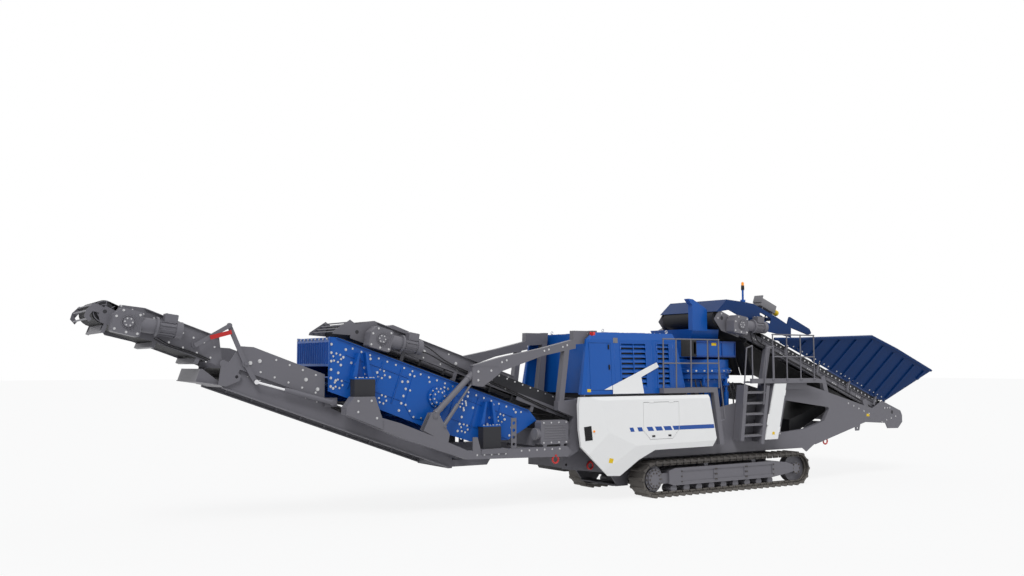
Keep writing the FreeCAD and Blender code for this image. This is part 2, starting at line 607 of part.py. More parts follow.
def feeder_frame():
    """Return the feed conveyor's frame: two deep beams, its tail box and legs."""
    y0, end = -FEED_HALF, FEED_LENGTH - 600
    web = FEED.plate([(250, -150), (end, -170), (end, 30), (250, 30)], y0, y0 + 90)
    cheek = FEED.plate([(-230, -120), (-150, 160), (500, 160), (700, 30), (700, -240), (100, -300)], y0, y0 + PLATE)
    rib = [FEED.block(s, s + 14, -170, 30, y0 - 35, y0) for s in range(1500, end - 100, 520)]
    ends = both(fuse([web, cheek] + rib))
    cross = [FEED.block(s, s + 110, -140, -40, y0 + 20, -y0 - 20) for s in (900, 2600, 4300, end - 400)]
    legs = []
    y_leg = -CHASSIS_HALF + HEAVY_PLATE + SEAT
    for s, foot_x, foot_z in ((1700, 1450, 2300), (end - 600, 5600, 1700)):
        top = FEED.at(s, -60)
        legs += both(bar(top, (foot_x, foot_z), 160, y_leg, y0 + 30))
    knee = both(bar(FEED.at(3900, -60), (3950, 2200), 150, y_leg, y0 + 30))
    # Rollers under the belt, each on two short posts inside the beams
    beds = rollers(FEED, FEED_RUN, (1200, 2700, 4200, end - 600), 55, -y0 - 112)
    for s in (1200, 2700, 4200, end - 600):
        beds += both(FEED.block(s - 25, s + 25, -100, 150, y0 + 89, y0 + 118))
    # Fixed knuckles of the side walls' hinges
    for s in HOPPER_HINGES:
        s0, s1 = s + HINGE_BARREL + SEAT, s + HINGE_BARREL + HINGE_KNUCKLE
        a, b = FEED.at(s0, HOPPER_HINGE_H), FEED.at(s1, HOPPER_HINGE_H)
        y = -HOPPER_HALF_LOW
        beds += both(fuse([cyl((a[0], y, a[1]), (b[0], y, b[1]), HINGE_BARREL_R),
                           FEED.block(s0, s1, -60, HOPPER_HINGE_H, y - 12, y0)]))
    bore = FEED.rod(0, 0, 50 + RUN_FIT, y0 - 50, -y0 + 50)
    return fuse(ends + cross + legs + knee + beds).cut(bore)


def feeder_skirt():
    """Return the black bolted rubber strips along both sides of the feed belt."""
    return Part.makeCompound(both(FEED.block(1450, 6350, 30 + SEAT, 170, -FEED_HALF, -FEED_HALF + 60)))


def hopper_wall():
    """Return the near hopper wall, which stands on its hinge line and leans out."""
    lean = math.radians(HOPPER_FLARE)
    # (along the conveyor, up the wall) round the wall's edge
    pts = [(1850, 0), (6480, 0), (7210, 1420), (5600, 1420), (4560, 1370), (2480, 300)]
    t = HOPPER_WALL
    face = Part.Face(Part.makePolygon([V(s, 0, h) for s, h in pts + pts[:1]]))
    parts = [face.extrude(V(0, t, 0))]
    for p, q in zip(pts[2:], pts[3:] + pts[:1]):
        parts.append(along(p, q, 60, t, -46))
    # Pressed stiffeners that run up the wall
    for s in range(2750, 7000, 470):
        top = 1300 if s > 4400 else 290 + (s - 2480) * 0.5 - 60
        lift = max(0, (s - 6480) * 1.95)
        parts.append(along((s, 30 + lift), (s + 40, top), 70, 1, -38))
    wall = fuse(parts)
    for s in HOPPER_HINGES:
        s1 = s + HINGE_BARREL
        wall = wall.cut(box(s1, s1 + HINGE_KNUCKLE + 6, -30, t + 30, -30, HINGE_BARREL_R + 6))
        wall = wall.fuse(cyl((s, 0, 0), (s1, 0, 0), HINGE_BARREL_R))
    wall.rotate(V(0, 0, 0), V(1, 0, 0), math.degrees(lean))
    wall.rotate(V(0, 0, 0), Y_AXIS, FEED_SLOPE)
    x, z = FEED.at(0, HOPPER_HINGE_H)
    wall.translate(V(x, -HOPPER_HALF_LOW, z))
    return wall


def along(p, q, width, y0, y1):
    """Return a strip of the wall between two (s, h) points."""
    dx, dz = q[0] - p[0], q[1] - p[1]
    n = math.hypot(dx, dz)
    ox, oz = -dz / n * width / 2, dx / n * width / 2
    pts = [(p[0] - ox, p[1] - oz), (q[0] - ox, q[1] - oz), (q[0] + ox, q[1] + oz), (p[0] + ox, p[1] + oz)]
    return side(pts, min(y0, y1), max(y0, y1))


def hopper_rear():
    """Return the fixed rear wall behind the two side walls."""
    low, high = FEED.at(6562, 240), FEED.at(7270, 1405)
    t = 14
    a = math.atan2(high[1] - low[1], high[0] - low[0])
    ox, oz = math.sin(a) * t, -math.cos(a) * t
    half_low, half_high = HOPPER_HALF_LOW + 20, HOPPER_HALF_LOW + 740
    def sheet(p, half):
        return [(p[0], -half, p[1]), (p[0] + ox, -half, p[1] + oz), (p[0] + ox, half, p[1] + oz), (p[0], half, p[1])]
    wall = loft([sheet(low, half_low), sheet(high, half_high)])
    feet = both(FEED.plate([(6215, -120), (6295, -120), (6640, 230), (6560, 260)], -FEED_HALF - 16, -FEED_HALF))
    ribs = [bar((low[0] + ox + 10, low[1] + oz), (high[0] + ox + 5, high[1] + oz - 60), 50, y - 10, y + 10)
            for y in (-900, -300, 300, 900)]
    return fuse([wall] + feet + ribs)


def head_cover():
    """Return the hood plates and truss bracket over the feed conveyor's head."""
    cheek = side([(0, 4380), (360, 4700), (920, 4660), (1280, 4620), (2120, 4300), (2650, 4060), (2640, 3780),
                  (1700, 3930), (900, 4240), (400, 4440)], -1070, -1050)
    cheek = cheek.cut(rounded([(1500, 4420), (1900, 4270), (1880, 4120), (1500, 4260)], 30, -1080, -1040))
    roof = fuse([bar((0, 4390), (360, 4700), 14, -1060, 1060), bar((360, 4693), (1060, 4643), 14, -1060, 1060)])
    cross = [bar((1250, 4600), (1360, 4560), 60, -1060, 1060), bar((2080, 4280), (2180, 4240), 60, -1060, 1060)]
    arm = rounded([(2600, 4330), (3360, 4020), (3440, 3900), (3300, 3860), (2500, 4080)], 30, -1070, -1030)
    return fuse(both(fuse([cheek, arm])) + [roof] + cross)


def beacon():
    """Return the beacon on its mast."""
    x, y = 970, -1000
    parts = [cyl((x, y, 4670), (x, y, 4960), 16), cyl((x, y, 4660), (x, y, 4680), 45),
             cyl((x, y, 4950), (x, y, 5000), 50), cyl((x, y, 4995), (x, y, 5130), 55)]
    dome = Part.makeSphere(55, V(x, y, 5125)).common(box(x - 60, x + 60, y - 60, y + 60, 5125, 5200))
    return fuse(parts + [dome])


def rails(posts, levels, y, z0):
    """Return a guard rail along X: posts at each x, bars at each height."""
    parts = [cyl((x, y, z0), (x, y, levels[0]), RAIL_R) for x in posts]
    for z in levels:
        parts.append(cyl((posts[0] - RAIL_R, y, z), (posts[-1] + RAIL_R, y, z), RAIL_R))
    return parts


def platform_left():
    """Return the platform beside the hood, with its beam, posts and rails."""
    y0 = -PLATFORM_HALF
    y1 = y0 + 160
    beam = box(-2120, -420, y0, y1, 2400, 2520)
    column = side([(-560, 2520), (-420, 2520), (-220, 1150), (-360, 1150)], y0, y0 + 120)
    floor = box(-1200, -430, y1, y1 + 300, 2480, 2520)
    parts = [beam, column, floor, box(-1000, -900, y1, -CHASSIS_HALF, 1800, 2482)]
    parts += rails((-2300 + 200, -1700, -1230, -690), (3670, 3100), y0 + 40, 2500)
    parts += rails((-690, -330), (3670, 3100), y0 + 40, 2500)
    parts.append(cyl((-330, y0 + 40, 3100), (-150, y0 + 40, 1740), RAIL_R))
    parts.append(cyl((-150, y0 + 40, 1740), (-300, y0 + 60, 1700), RAIL_R))
    return fuse(parts)


def ladder():
    """Return the ladder with its two stringers and five treads."""
    y0 = -PLATFORM_HALF
    y1 = y0 + 30
    left = bar((560, 2560), (390, 1200), 110, y0, y1 + 60)
    right = bar((1330, 2540), (1090, 1100), 110, y0, y1 + 60)
    treads = []
    for i in range(STEPS):
        z = 1290 + i * 265
        t = (z - 1150) / 1400
        x0, x1 = 390 + 170 * t, 1100 + 235 * t
        treads.append(box(x0, x1, y0 + 4, y0 + 300, z, z + 30))
    back = [bar((570, 2560), (400, 1200), 60, y0 + 90, y0 + 306),
            bar((1310, 2540), (1080, 1150), 60, y0 + 90, y0 + 306)]
    tie = box(480, 1150, y0 + 290, -CHASSIS_HALF - SEAT, 1700, 1780)
    return fuse([left, right, tie] + treads + back)


def platform_right():
    """Return the platform at the feed conveyor's side, its locker and its rails."""
    y0 = -PLATFORM_HALF
    floor = side([(740, 2600), (3100, 2600), (3440, 2580), (3440, 2660), (3100, 2720), (740, 2720)], y0, y0 + 50)
    deck = box(760, 3100, y0 + 40, -FEED_HALF - 130, 2610, 2650)
    under = box(1400, 2900, y0 + 140, -CHASSIS_HALF - SEAT, 2440, 2615)
    shell = side([(1560, 2600), (2000, 2600), (1640, 1190), (1170, 1190)], y0 + 30, y0 + 250)
    tie = box(1450, 1600, y0 + 240, -CHASSIS_HALF, 1900, 2000)
    shell = shell.cut(side([(1580, 2580), (1960, 2580), (1620, 1220), (1200, 1220)], y0 + 20, y0 + 220))
    parts = [floor, deck, under, shell, tie]
    parts += rails((1520, 2030, 2540, 3050), (3830, 3270), y0 + 8, 2700)
    for x0, x1, z0, z1 in ((420, 640, 2070, 3480), (1130, 1400, 2070, 3480)):
        lean = 150
        parts += [cyl((x0, y0 - 18, z0), (x0 + lean, y0 - 18, z1), RAIL_R),
                  cyl((x0 + lean, y0 - 18, z1), (x1 + lean, y0 + 8, z1 + 60), RAIL_R),
                  cyl((x1 + lean, y0 + 8, z1 + 60), (x1 + lean, y0 + 8, 2650), RAIL_R)]
    return fuse(parts)


LOCKER_EDGE = ((1635, 1200), (1990, 2590))


def locker_barrels():
    """Return the locker door's two hinge barrels along its leaning right edge."""
    (x0, z0), (x1, z1) = LOCKER_EDGE
    y = -PLATFORM_HALF - 6
    def at(t):
        return (x0 + (x1 - x0) * t, y, z0 + (z1 - z0) * t)
    return [cyl(at(t), at(t + 0.1), 10) for t in (0.12, 0.78)]


def locker_door():
    """Return the white door of the locker, which hangs on its right edge."""
    y0 = -PLATFORM_HALF
    door = side([(1565, 2590), LOCKER_EDGE[1], LOCKER_EDGE[0], (1180, 1200)], y0, y0 + 30 - SEAT)
    grip = side([(1240, 1560), (1300, 1560), (1360, 1830), (1300, 1830)], y0 - 14, y0 + 1)
    return fuse([door, grip] + locker_barrels())


def out_frame():
    """Return the crusher discharge conveyor's frame with its head guard."""
    y0 = -OUT_HALF
    plate = OUT.plate([(1700, -20), (4700, -20), (5560, -120), (5860, -120), (5900, 160), (5500, 370),
                       (1900, 370)], y0, y0 + PLATE)
    low = OUT.block(OUT_TAIL_S - 60, 1710, -100, 60, y0 - 18, y0 + 12)
    lip = OUT.block(1900, 5400, 358, 370, y0 - 50, y0 + 20)
    sides = both(fuse([plate, low, lip]))
    cross = [OUT.block(s, s + 80, -230, -150, y0, -y0) for s in (-3000, -900, 1200, 3300, 4600)]
    hangers = [OUT.block(s, s + 80, -152, 0, y, y + 12) for s in (-3000, -900, 1200, 3300, 4600) for y in (y0, -y0 - 12)]
    top = OUT.block(4700, 5480, 370, 384, y0, -y0)
    guards = [OUT.rod(5990 + 60 * i, 170 - 85 * i, 14, y0 + 4, -y0 - 4) for i in range(4)]
    guards += both(OUT.plate([(5700, 150), (5860, -60), (6240, -160), (6240, -100), (5980, 230)], y0 + 2, y0 + 14))
    cover = side([(-9000, 3800), (-8700, 3880), (-8330, 3750), (-8330, 3610), (-8980, 3780)], -OUT_HALF, OUT_HALF)
    beds = rollers(OUT, OUT_RUN, (-3000, -900, 2600, 4500), 40, -y0 - 10)
    # Posts on the chassis and brackets to the two hangers
    beds += both(box(-4200, -4120, y0 - 18, y0 + 12, 1400 + SEAT, 1850))
    beds += both(box(-6900, -6800, -890 + SEAT, y0 + 1, 2790, 2880))
    frame = fuse(sides + cross + hangers + [top, cover] + guards + beds)
    for s, h, r in ((OUT_HEAD_S, 45, 40), (OUT_TAIL_S, 0, 30)):
        frame = frame.cut(OUT.rod(s, h, r + RUN_FIT, y0 - 60, -y0 + 60))
    return frame


def out_skirt():
    """Return the dark rubber skirts of the discharge conveyor's low end."""
    return Part.makeCompound(both(OUT.block(280, 2400, 60 + SEAT, 300, -OUT_HALF - 18, -OUT_HALF)))


# The hanger's foot, and the pins at the lower ends of its two struts as (x, z, radius)
FOOT_OUTLINE = [(-4850, 2260), (-4060, 2300), (-4060, 2060), (-4290, 1150), (-4560, 1020), (-4700, 1080),
                (-4420, 1900), (-4850, 2060)]
STRUT_Y = -1094
STRUT_PINS = ((-7990, 2020, 40), (-7760, 1800, 22))


def hanger():
    """Return the near arm, post and strut frame that carries the screening unit."""
    y0, y1 = -1060, -900
    outer = side([(-3900, 3840), (-3760, 3840), (-3920, 2100), (-4300, 1960), (-4300, 2300), (-4090, 2330)], y0, y1)
    inner = bar((-4590, 3480), (-4770, 2150), 130, y0, y1)
    foot = side(FOOT_OUTLINE, y0, y1)
    cap = side([(-4410, 3830), (-3760, 3830), (-3830, 3560), (-4420, 3520)], y0, y1)
    arm = side([(-4360, 3640), (-5260, 3430), (-6300, 3230), (-7030, 3050), (-7000, 2860), (-6660, 2740),
                (-6300, 2930), (-5260, 3260), (-4360, 3430)], y0, y1)
    knee = side([(-7060, 3010), (-6400, 3010), (-6380, 2880), (-6800, 2600), (-7060, 2640)], y0 - 20, y1 + 10)
    strut = cyl((-7000, -1010, 2900), (-7990, STRUT_Y, 2020), 62)
    eye = cyl_y(-7990, 2020, 75, STRUT_Y - 62, STRUT_Y + 62)
    rod = cyl((-7020, -1010, 2700), (-7760, STRUT_Y, 1800), 24)
    sleeve = cyl((-7400, -1052, 2238), (-7760, STRUT_Y, 1800), 42)
    seat = box(-4280, -4110, -CHASSIS_HALF + HEAVY_PLATE, y0 + 1, 1500, 1900)
    frame = fuse([outer, inner, foot, cap, arm, knee, strut, eye, rod, sleeve, seat])
    for x, z, r in STRUT_PINS:
        frame = frame.cut(cyl_y(x, z, r + SEAT, -CHASSIS_HALF - 60, -900))
    return frame


def subframe():
    """Return the near beam of the screening unit with its pedestals and brackets."""
    y0, y1 = -BEAM_HALF_OUT, -BEAM_HALF_IN
    beam = side([(-9930, 2240), (-8760, 1900), (-7850, 1550), (-7190, 1280), (-4690, 1280), (-4580, 1160),
                 (-4660, 1050), (-7230, 1110), (-8760, 1610), (-9970, 2110)], y0, y1)
    ped = side([(-9780, 2440), (-9340, 2440), (-9170, 1980), (-9170, 1800), (-9940, 2100), (-9940, 2230)],
               y0 - 30, y1 + 60)
    rear = box(-6900, -6280, y0 - 20, y1 + 60, 1200, 1300)
    fork = [(-8250, 1740), (-8070, 2090), (-7920, 2090), (-7650, 1640), (-7690, 1440)]
    strut_foot = [side(fork, y0, y0 + 24), side(fork, y1 - 24, y1)]
    strut_foot += [cyl_y(x, z, r, y0, y1) for x, z, r in STRUT_PINS]
    lug = rounded([(-7100, 1260), (-7100, 1560), (-6990, 1560), (-6900, 1260)], 20, y0, y0 + 30)
    stand = side([(-6130, 1260), (-6130, 1930), (-6000, 1930), (-6000, 1260)], y0 + 40, y0 + 60)
    for i in range(4):
        stand = stand.cut(cyl_y(-6065, 1370 + i * 150, 38, y0 + 30, y0 + 70))
    return fuse([beam, ped, rear, lug, stand] + strut_foot).cut(side(FOOT_OUTLINE, -1060, -900))


def subframe_ties():
    """Return the cross tubes between the two subframe beams."""
    y = BEAM_HALF_IN
    return [cyl_y(x, z, 40, -y - 10, y + 10) for x, z in ((-9600, 2290), (-4850, 1170))] + \
        [box(-7150, -7000, -y - 10, y + 10, 1125, 1245)]


def screen_box():
    """Return the open screen box: two side plates, its back wall, decks and cross tubes."""
    y0, y1 = -SCREEN_HALF, -SCREEN_HALF + PLATE
    # (s, h) round the side plate
    plate = SCREEN.plate([(0, 0), (150, 40), (SCREEN_LENGTH - 130, 40), (SCREEN_LENGTH + 120, -100),
                          (SCREEN_LENGTH - 180, -430), (4620, -720), (3720, -1020), (2500, -1040), (1490, -1010),
                          (340, -1005)], y0, y1)
    top = SCREEN.block(150, SCREEN_LENGTH - 160, 28, 40, y0 - 40, y1)
    edge = SCREEN.plate([(0, 0), (12, 0), (352, -1005), (340, -1005)], y0 - 30, y1)
    # Twin ribs above each spring, as (x, top z, foot z)
    ribs = []
    for x, z_top, z_foot in ((-9510, 3300, 2790), (-6580, 2280, 1770)):
        for way in (-1, 1):
            ribs.append(side([(x + way * 60, z_top), (x + way * 90, z_top), (x + way * 220, z_foot),
                              (x + way * 120, z_foot)], y0 - 130, y0 + 1))
        ribs.append(box(x - 230, x + 230, y0 - 240, y0 + 1, z_foot - 10, z_foot + 15))
    backing = SCREEN.plate([(1990, -110), (2790, -110), (2790, -560), (2640, -900), (2250, -960), (1990, -760)],
                           y0 - 14, y0)
    parts = both(fuse([plate, top, edge, backing] + ribs))
    parts.append(SCREEN.plate([(4, -10), (18, -10), (198, -545), (184, -545)], -SCREEN_HALF, SCREEN_HALF))
    for i in range(7):
        y = -600 + i * 200
        parts.append(SCREEN.plate([(18, -10), (70, -40), (190, -470), (170, -470)], y - 12, y + 12))
    for s, h in ((300, -330), (1300, -330), (2300, -330), (3300, -330), (4300, -330),
                 (500, -800), (1500, -800), (2500, -860), (3500, -800)):
        parts.append(SCREEN.rod(s, h, 55, -SCREEN_HALF, SCREEN_HALF))
    parts.append(SCREEN.block(150, 4850, -285, -260, -SCREEN_HALF, SCREEN_HALF))
    parts.append(SCREEN.block(250, 4300, -755, -735, -SCREEN_HALF, SCREEN_HALF))
    for s in range(400, 4800, 550):
        parts.append(SCREEN.block(s, s + 40, -260, -235, -SCREEN_HALF, SCREEN_HALF))
    return fuse(parts)


def vibrator():
    """Return the near vibrator housing, a stepped round cover on the backing plate."""
    x, z = -7790, 2390
    y0 = -SCREEN_HALF - 14 - SEAT
    return fuse([cyl_y(x, z, 150, y0 - 110, y0), cyl_y(x, z, 215, y0 - 60, y0),
                 cyl_y(x, z, 165, y0 - 110, y0 - 90), cyl_y(x, z, 60, y0 - 118, y0)])


def spring_boots():
    """Return the near rubber boots round the screen's springs."""
    out = []
    for x, z0, z1 in ((-9510, 2440, 2780), (-6580, 1300, 1760)):
        y = -SCREEN_HALF - 120
        out.append(box(x - 220, x + 220, y - 125, y + 85, z0 + SEAT, z1 - SEAT))
    return Part.makeCompound(out)


def cross_frame():
    """Return the cross conveyor at the screen's low end, with its drive box."""
    x0, x1 = -5370, -4700
    sides = [box(x, x + PLATE, -900, 1200, 1290, 1600) for x in (x0, x1 - PLATE)]
    tray = box(x0, x1, -900, 1200, 1290, 1302)
    ends = [box(x0, x1, -912, -900, 1290, 1500)]
    case = rounded([(x0, 1330), (x1 + 60, 1330), (x1 + 60, 1800), (x1 + 10, 1850), (x0 + 30, 1850), (x0, 1800)],
                   40, -1150, -912)
    fan = cyl((x0 - 90, -1035, 1560), (x0 + 5, -1035, 1560), 120)
    feet = [box(x, x + 90, -1150, -1000, 1280, 1335) for x in (x0 + 60, x1 - 150)]
    feet += [box(x0 + 40, x1 - 40, y, y + 80, 1300, 1340 - SEAT) for y in (-500, 250, 800)]
    feet += [box(x, x + 90, 1000, 1150, 1280, 1300) for x in (x0 + 60, x1 - 150)]
    return fuse(sides + [tray, case, fan] + ends + feet)


def cross_belt():
    """Return the cross conveyor's belt."""
    x0, x1 = -5340, -4730
    ends = [cyl((x0, y, 1430), (x1, y, 1430), 90) for y in (-780, 1080)]
    return fuse(ends + [box(x0, x1, -780, 1080, 1340, 1520)])


RETURN_SLOPE = 25.5
RETURN = Slope(-4550, 1250, RETURN_SLOPE, False)
RETURN.u = (math.cos(math.radians(RETURN_SLOPE)), math.sin(math.radians(RETURN_SLOPE)))
RETURN.n = (-math.sin(math.radians(RETURN_SLOPE)), math.cos(math.radians(RETURN_SLOPE)))
RETURN_Y0, RETURN_Y1 = 1510, 1900
RETURN_LENGTH = 6250


def return_frame():
    """Return the return conveyor that climbs along the far side to the feed chute."""
    y0, y1 = RETURN_Y0, RETURN_Y1
    sides = [RETURN.block(-150, RETURN_LENGTH, -130, 260, y, y + PLATE) for y in (y0, y1 - PLATE)]
    floor = RETURN.block(100, RETURN_LENGTH - 300, -130, -118, y0, y1)
    lid = RETURN.block(700, RETURN_LENGTH - 100, 248, 260, y0, y1)
    hood_end = RETURN.plate([(RETURN_LENGTH, 260), (RETURN_LENGTH + 230, 150), (RETURN_LENGTH + 260, -330),
                             (RETURN_LENGTH + 245, -330), (RETURN_LENGTH + 215, 140), (RETURN_LENGTH, 245)], y0, y1)
    head_sides = [RETURN.plate([(RETURN_LENGTH - 5, 260), (RETURN_LENGTH + 230, 150), (RETURN_LENGTH + 260, -330),
                                (RETURN_LENGTH - 5, -130)], y, y + PLATE) for y in (y0, y1 - PLATE)]
    ties = [box(x, x + 90, y, y0 + 5, z, z + 90) for x, y, z in
            ((-450, CHASSIS_HALF, 1800), (1350, CHASSIS_HALF, 2150), (-4580, 1060 + SEAT, 1300))]
    mid = (-405 - RETURN.x) / RETURN.u[0]
    posts = [bar((-405, 1800), RETURN.at(mid, 60), 90, y0 - 45, y0 + 5),
             bar((1395, 2150), RETURN.at(RETURN_LENGTH - 100, -60), 90, y0 - 45, y0 + 5)]
    return fuse(sides + [floor, lid, hood_end] + head_sides + ties + posts)


def fines_trough():
    """Return the fines conveyor's lower section: trough, side plates and hinge brackets."""
    y0 = -FINES_HALF
    def under(x, up):
        return (x, 2630 - (x + 12120) * 0.364 + up)
    shallow = side([under(-12200, 0), under(-7400, 30), under(-7400, 440), under(-12150, 440)], y0, y0 + PLATE)
    rim = side([under(-12200, -30), under(-7400, 0), under(-7400, 30), under(-12200, 0)], y0 - 25, y0 + 40)
    deep = side([under(-12130, 430), under(-10215, 430), under(-10215, 940), under(-11640, 940), under(-11900, 860)],
                y0 - 60, y0 - 60 + PLATE)
    step = side([under(-12130, 428), under(-9960, 428), under(-9960, 442), under(-12130, 442)], y0 - 60, y0 + PLATE)
    nose = side([(-12290, 2690), (-12150, 2660), (-11900, 2760), (-11860, 2860), (-11960, 2940), (-12180, 3060),
                 (-12240, 3060)], y0 - 60, y0 - 30)
    nose = nose.cut(cyl_y(-11950, 2840, 32, y0 - 70, y0 - 20))
    ear = fuse([bar((FOLD_X, FOLD_Z), (-11900, 2960), 130, y0 - 60, y0 - 36), cyl_y(FOLD_X, FOLD_Z, 70, y0 - 60, y0 - 36)])
    drop = side([(-12680, 2750), (-12600, 2990), (-12560, 2990), (-12260, 2760), (-12260, 2700)], y0 + 40, y0 + 52)
    drop = fuse([drop, side([(-12680, 2750), (-12600, 2990), (-12590, 2990), (-12670, 2750)], y0 + 40, 0),
                 side([(-12680, 2750), (-12260, 2690), (-12140, 2640), (-12140, 2655), (-12260, 2705), (-12678, 2765)],
                      y0 - 10, 0)])
    near = both(fuse([shallow, rim, deep, step, nose, ear, drop]).cut(
        cyl_y(FOLD_X, FOLD_Z, HINGE_R + RUN_FIT, y0 - 70, y0)))
    (x_low, z_low, r_low), (x_high, z_high, r_high) = FINES_RUN
    ux, uz = unit((x_low, z_low), (x_high, z_high))
    run = math.hypot(x_high - x_low, z_high - z_low)
    cross = []
    for d in (900, 2500, 4200):
        drop = r_low + (r_high - r_low) * d / run + TIE_TUBE_R + SEAT
        cross.append(cyl_y(x_low + ux * d + uz * -drop, z_low + uz * d + ux * drop, TIE_TUBE_R, y0 + 5, -y0 - 5))
    tail = box(-7420, -7330, y0, -y0, 900, 1330)
    base = side([(-7430, 905), (-6350, 905), (-6250, 1050), (-7300, 1050)], -500, 500)
    hang = both(box(-9620, -9500, -940, y0 + 4, 2000, 2100))
    hang += both(box(-7420, -7300, -BEAM_HALF_IN, y0 + 4, 1130, 1235))
    y_cyl = CYL_Y + 48 + SEAT
    hang += both(side([(-10215, 2240), (-9960, 2240), (-9960, 2420), (-10215, 2420)], y_cyl, y0 - 40))
    hang.append(cyl_y(*CYL_END, 24, CYL_Y - 40, y0 - 40))
    hang.append(cyl_y(*LEVER_PIVOT, 26, LINK_Y0, y0 - 55))
    return fuse(near + cross + hang + [tail, base])


def fines_belt():
    """Return the lower section's belt between its end pulleys."""
    (x_low, z_low, r_low), (x_high, z_high, r_high) = FINES_RUN
    return belt_between((x_low, z_low), r_low, (x_high, z_high), r_high, FINES_HALF - 60)


def belt_between(p0, r0, p1, r1, half):
    """Return a closed belt round two drums, whose drums stay solid inside it."""
    ends = [cyl_y(p0[0], p0[1], r0, -half, half), cyl_y(p1[0], p1[1], r1, -half, half)]
    dx, dz = p1[0] - p0[0], p1[1] - p0[1]
    n = math.hypot(dx, dz)
    lean = math.asin((r0 - r1) / n)
    pts = []
    for p, r in ((p0, r0), (p1, r1)):
        for way in (1, -1):
            nx = -dz / n * math.cos(lean) * way + dx / n * math.sin(lean)
            nz = dx / n * math.cos(lean) * way + dz / n * math.sin(lean)
            pts.append((p[0] + nx * r, p[1] + nz * r))
    mid = side([pts[0], pts[2], pts[3], pts[1]], -half, half)
    return fuse(ends + [mid])


def head_frame():
    """Return the folding head section's frame with its guard and scraper bars."""
    y0 = -HEAD_HALF
    plate = HEAD.plate([(-15, -60), (60, 110), (230, 430), (1660, 455), (2080, 350), (2120, 20), (1900, -120),
                        (1390, -60)], y0, y0 + PLATE)
    lip = HEAD.block(235, 1660, 430, 442, y0 - 40, y0 + PLATE)
    knob = fuse([HEAD.rod(608, 151, 60, y0 - 40, y0), HEAD.rod(608, 151, 24, LINK_Y0 + 20 + SEAT, y0)])
    ear = fuse([HEAD.rod(0, 0, 70, y0, y0 + 24), HEAD.rod(0, 0, HINGE_R, y0 - 82, y0)])
    brackets = HEAD.plate([(2000, 200), (2300, 240), (2360, 60), (2280, -60), (2000, -60)], y0 - 60, y0 - 40)
    tie = HEAD.block(2010, 2060, -40, 190, y0 - 45, y0 + 5)
    guard_side = HEAD.plate([(2250, 200), (2500, 220), (2570, 60), (2560, -60), (2450, -120), (2430, -60),
                             (2490, -10), (2460, 80), (2260, 90)], y0 - 55, y0 - 43)
    sides = both(fuse([plate, lip, knob, ear, brackets, tie, guard_side]))
    cross = [HEAD.block(s, s + 70, -160, -70, y0 + 2, -y0 - 2) for s in (420, 1250)]
    cross += rollers(HEAD, HEAD_RUN, (700, 1500), 40, -y0 - 10)
    drops = [HEAD.block(s, s + 70, -160, 40, y, y + 14) for s in (420, 1250) for y in (y0 + 1, -y0 - 15)]
    tube_y = -y0 + 50
    tubes = [HEAD.rod(s, h, 16, -tube_y, tube_y) for s, h in ((2505, 180), (2540, 60), (2490, -75))]
    scraper = [HEAD.rod(2180, -190, 30, -tube_y, tube_y), HEAD.block(2150, 2210, -190, -75, -560, 560)]
    scraper += both(HEAD.block(2150, 2210, -220, -40, y0 - 58, y0 - 40))
    bore = HEAD.rod(FINES_DRUM_S, FINES_DRUM_H, 35 + RUN_FIT, -tube_y - 20, tube_y + 20)
    return fuse(sides + cross + drops + tubes + scraper + [head_tail_pulley()]).cut(bore)


def head_belt():
    """Return the head section's belt, open round its head drum."""
    return belt_loop(HEAD, *HEAD_RUN, HEAD_HALF - 40)


def head_tail_pulley():
    """Return the small pulley at the head section's low end."""
    return drum(HEAD, 190, 90, 90, HEAD_HALF - 60, 25, HEAD_HALF)


HINGE_R = 35
LEVER_PIVOT = (-11800, 3080)
LEVER_APEX = (-12120, 3790)
LEVER_LOW = (-11600, 2740)
LINK_PIN = HEAD.at(608, 151)
CYL_END = (-10080, 2330)
LINK_Y0 = -FINES_HALF - 130
CYL_Y = LINK_Y0 - 6


def lever():
    """Return the near fold lever, a cranked plate on its pivot pin."""
    y0, y1 = LINK_Y0 + 30, LINK_Y0 + 52
    upper = link(LEVER_PIVOT, LEVER_APEX, 62, 48, y0, y1)
    lower = link(LEVER_PIVOT, LEVER_LOW, 62, 48, y0, y1)
    ends = [cyl_y(*LEVER_APEX, 24, LINK_Y0 - 6, y1), cyl_y(*LEVER_LOW, 24, LINK_Y0 + 20 + SEAT, y1)]
    return fuse([upper, lower] + ends).cut(cyl_y(*LEVER_PIVOT, 26 + RUN_FIT, y0 - 1, y1 + 1))


def fold_link():
    """Return the link from the lever to the head section, bored at the lever's end."""
    y0 = LINK_Y0
    return link(LEVER_APEX, LINK_PIN, 45, 42, y0, y0 + 20).cut(cyl_y(*LEVER_APEX, 24 + RUN_FIT, y0 - 1, y0 + 21))


def safety_strut():
    """Return the red safety strut that lies along the link."""
    y0 = LINK_Y0 - 20 - SEAT
    return bar((-12480, 3560), (-12090, 3668), 78, y0, y0 + 20)


def cylinder_barrel():
    """Return the fold cylinder's barrel with its eye."""
    p = CYL_END
    u = unit(CYL_END, LEVER_LOW)
    far = (p[0] + u[0] * 1000, p[1] + u[1] * 1000)
    y = CYL_Y
    return fuse([cyl((p[0], y, p[1]), (far[0], y, far[1]), 48).cut(
        cyl((p[0] + u[0] * 60, y, p[1] + u[1] * 60), (far[0] + u[0], y, far[1] + u[1]), 27)),
        cyl_y(p[0], p[1], 60, y - 30, y + 48)]).cut(cyl_y(p[0], p[1], 24 + RUN_FIT, y - 60, y + 60))


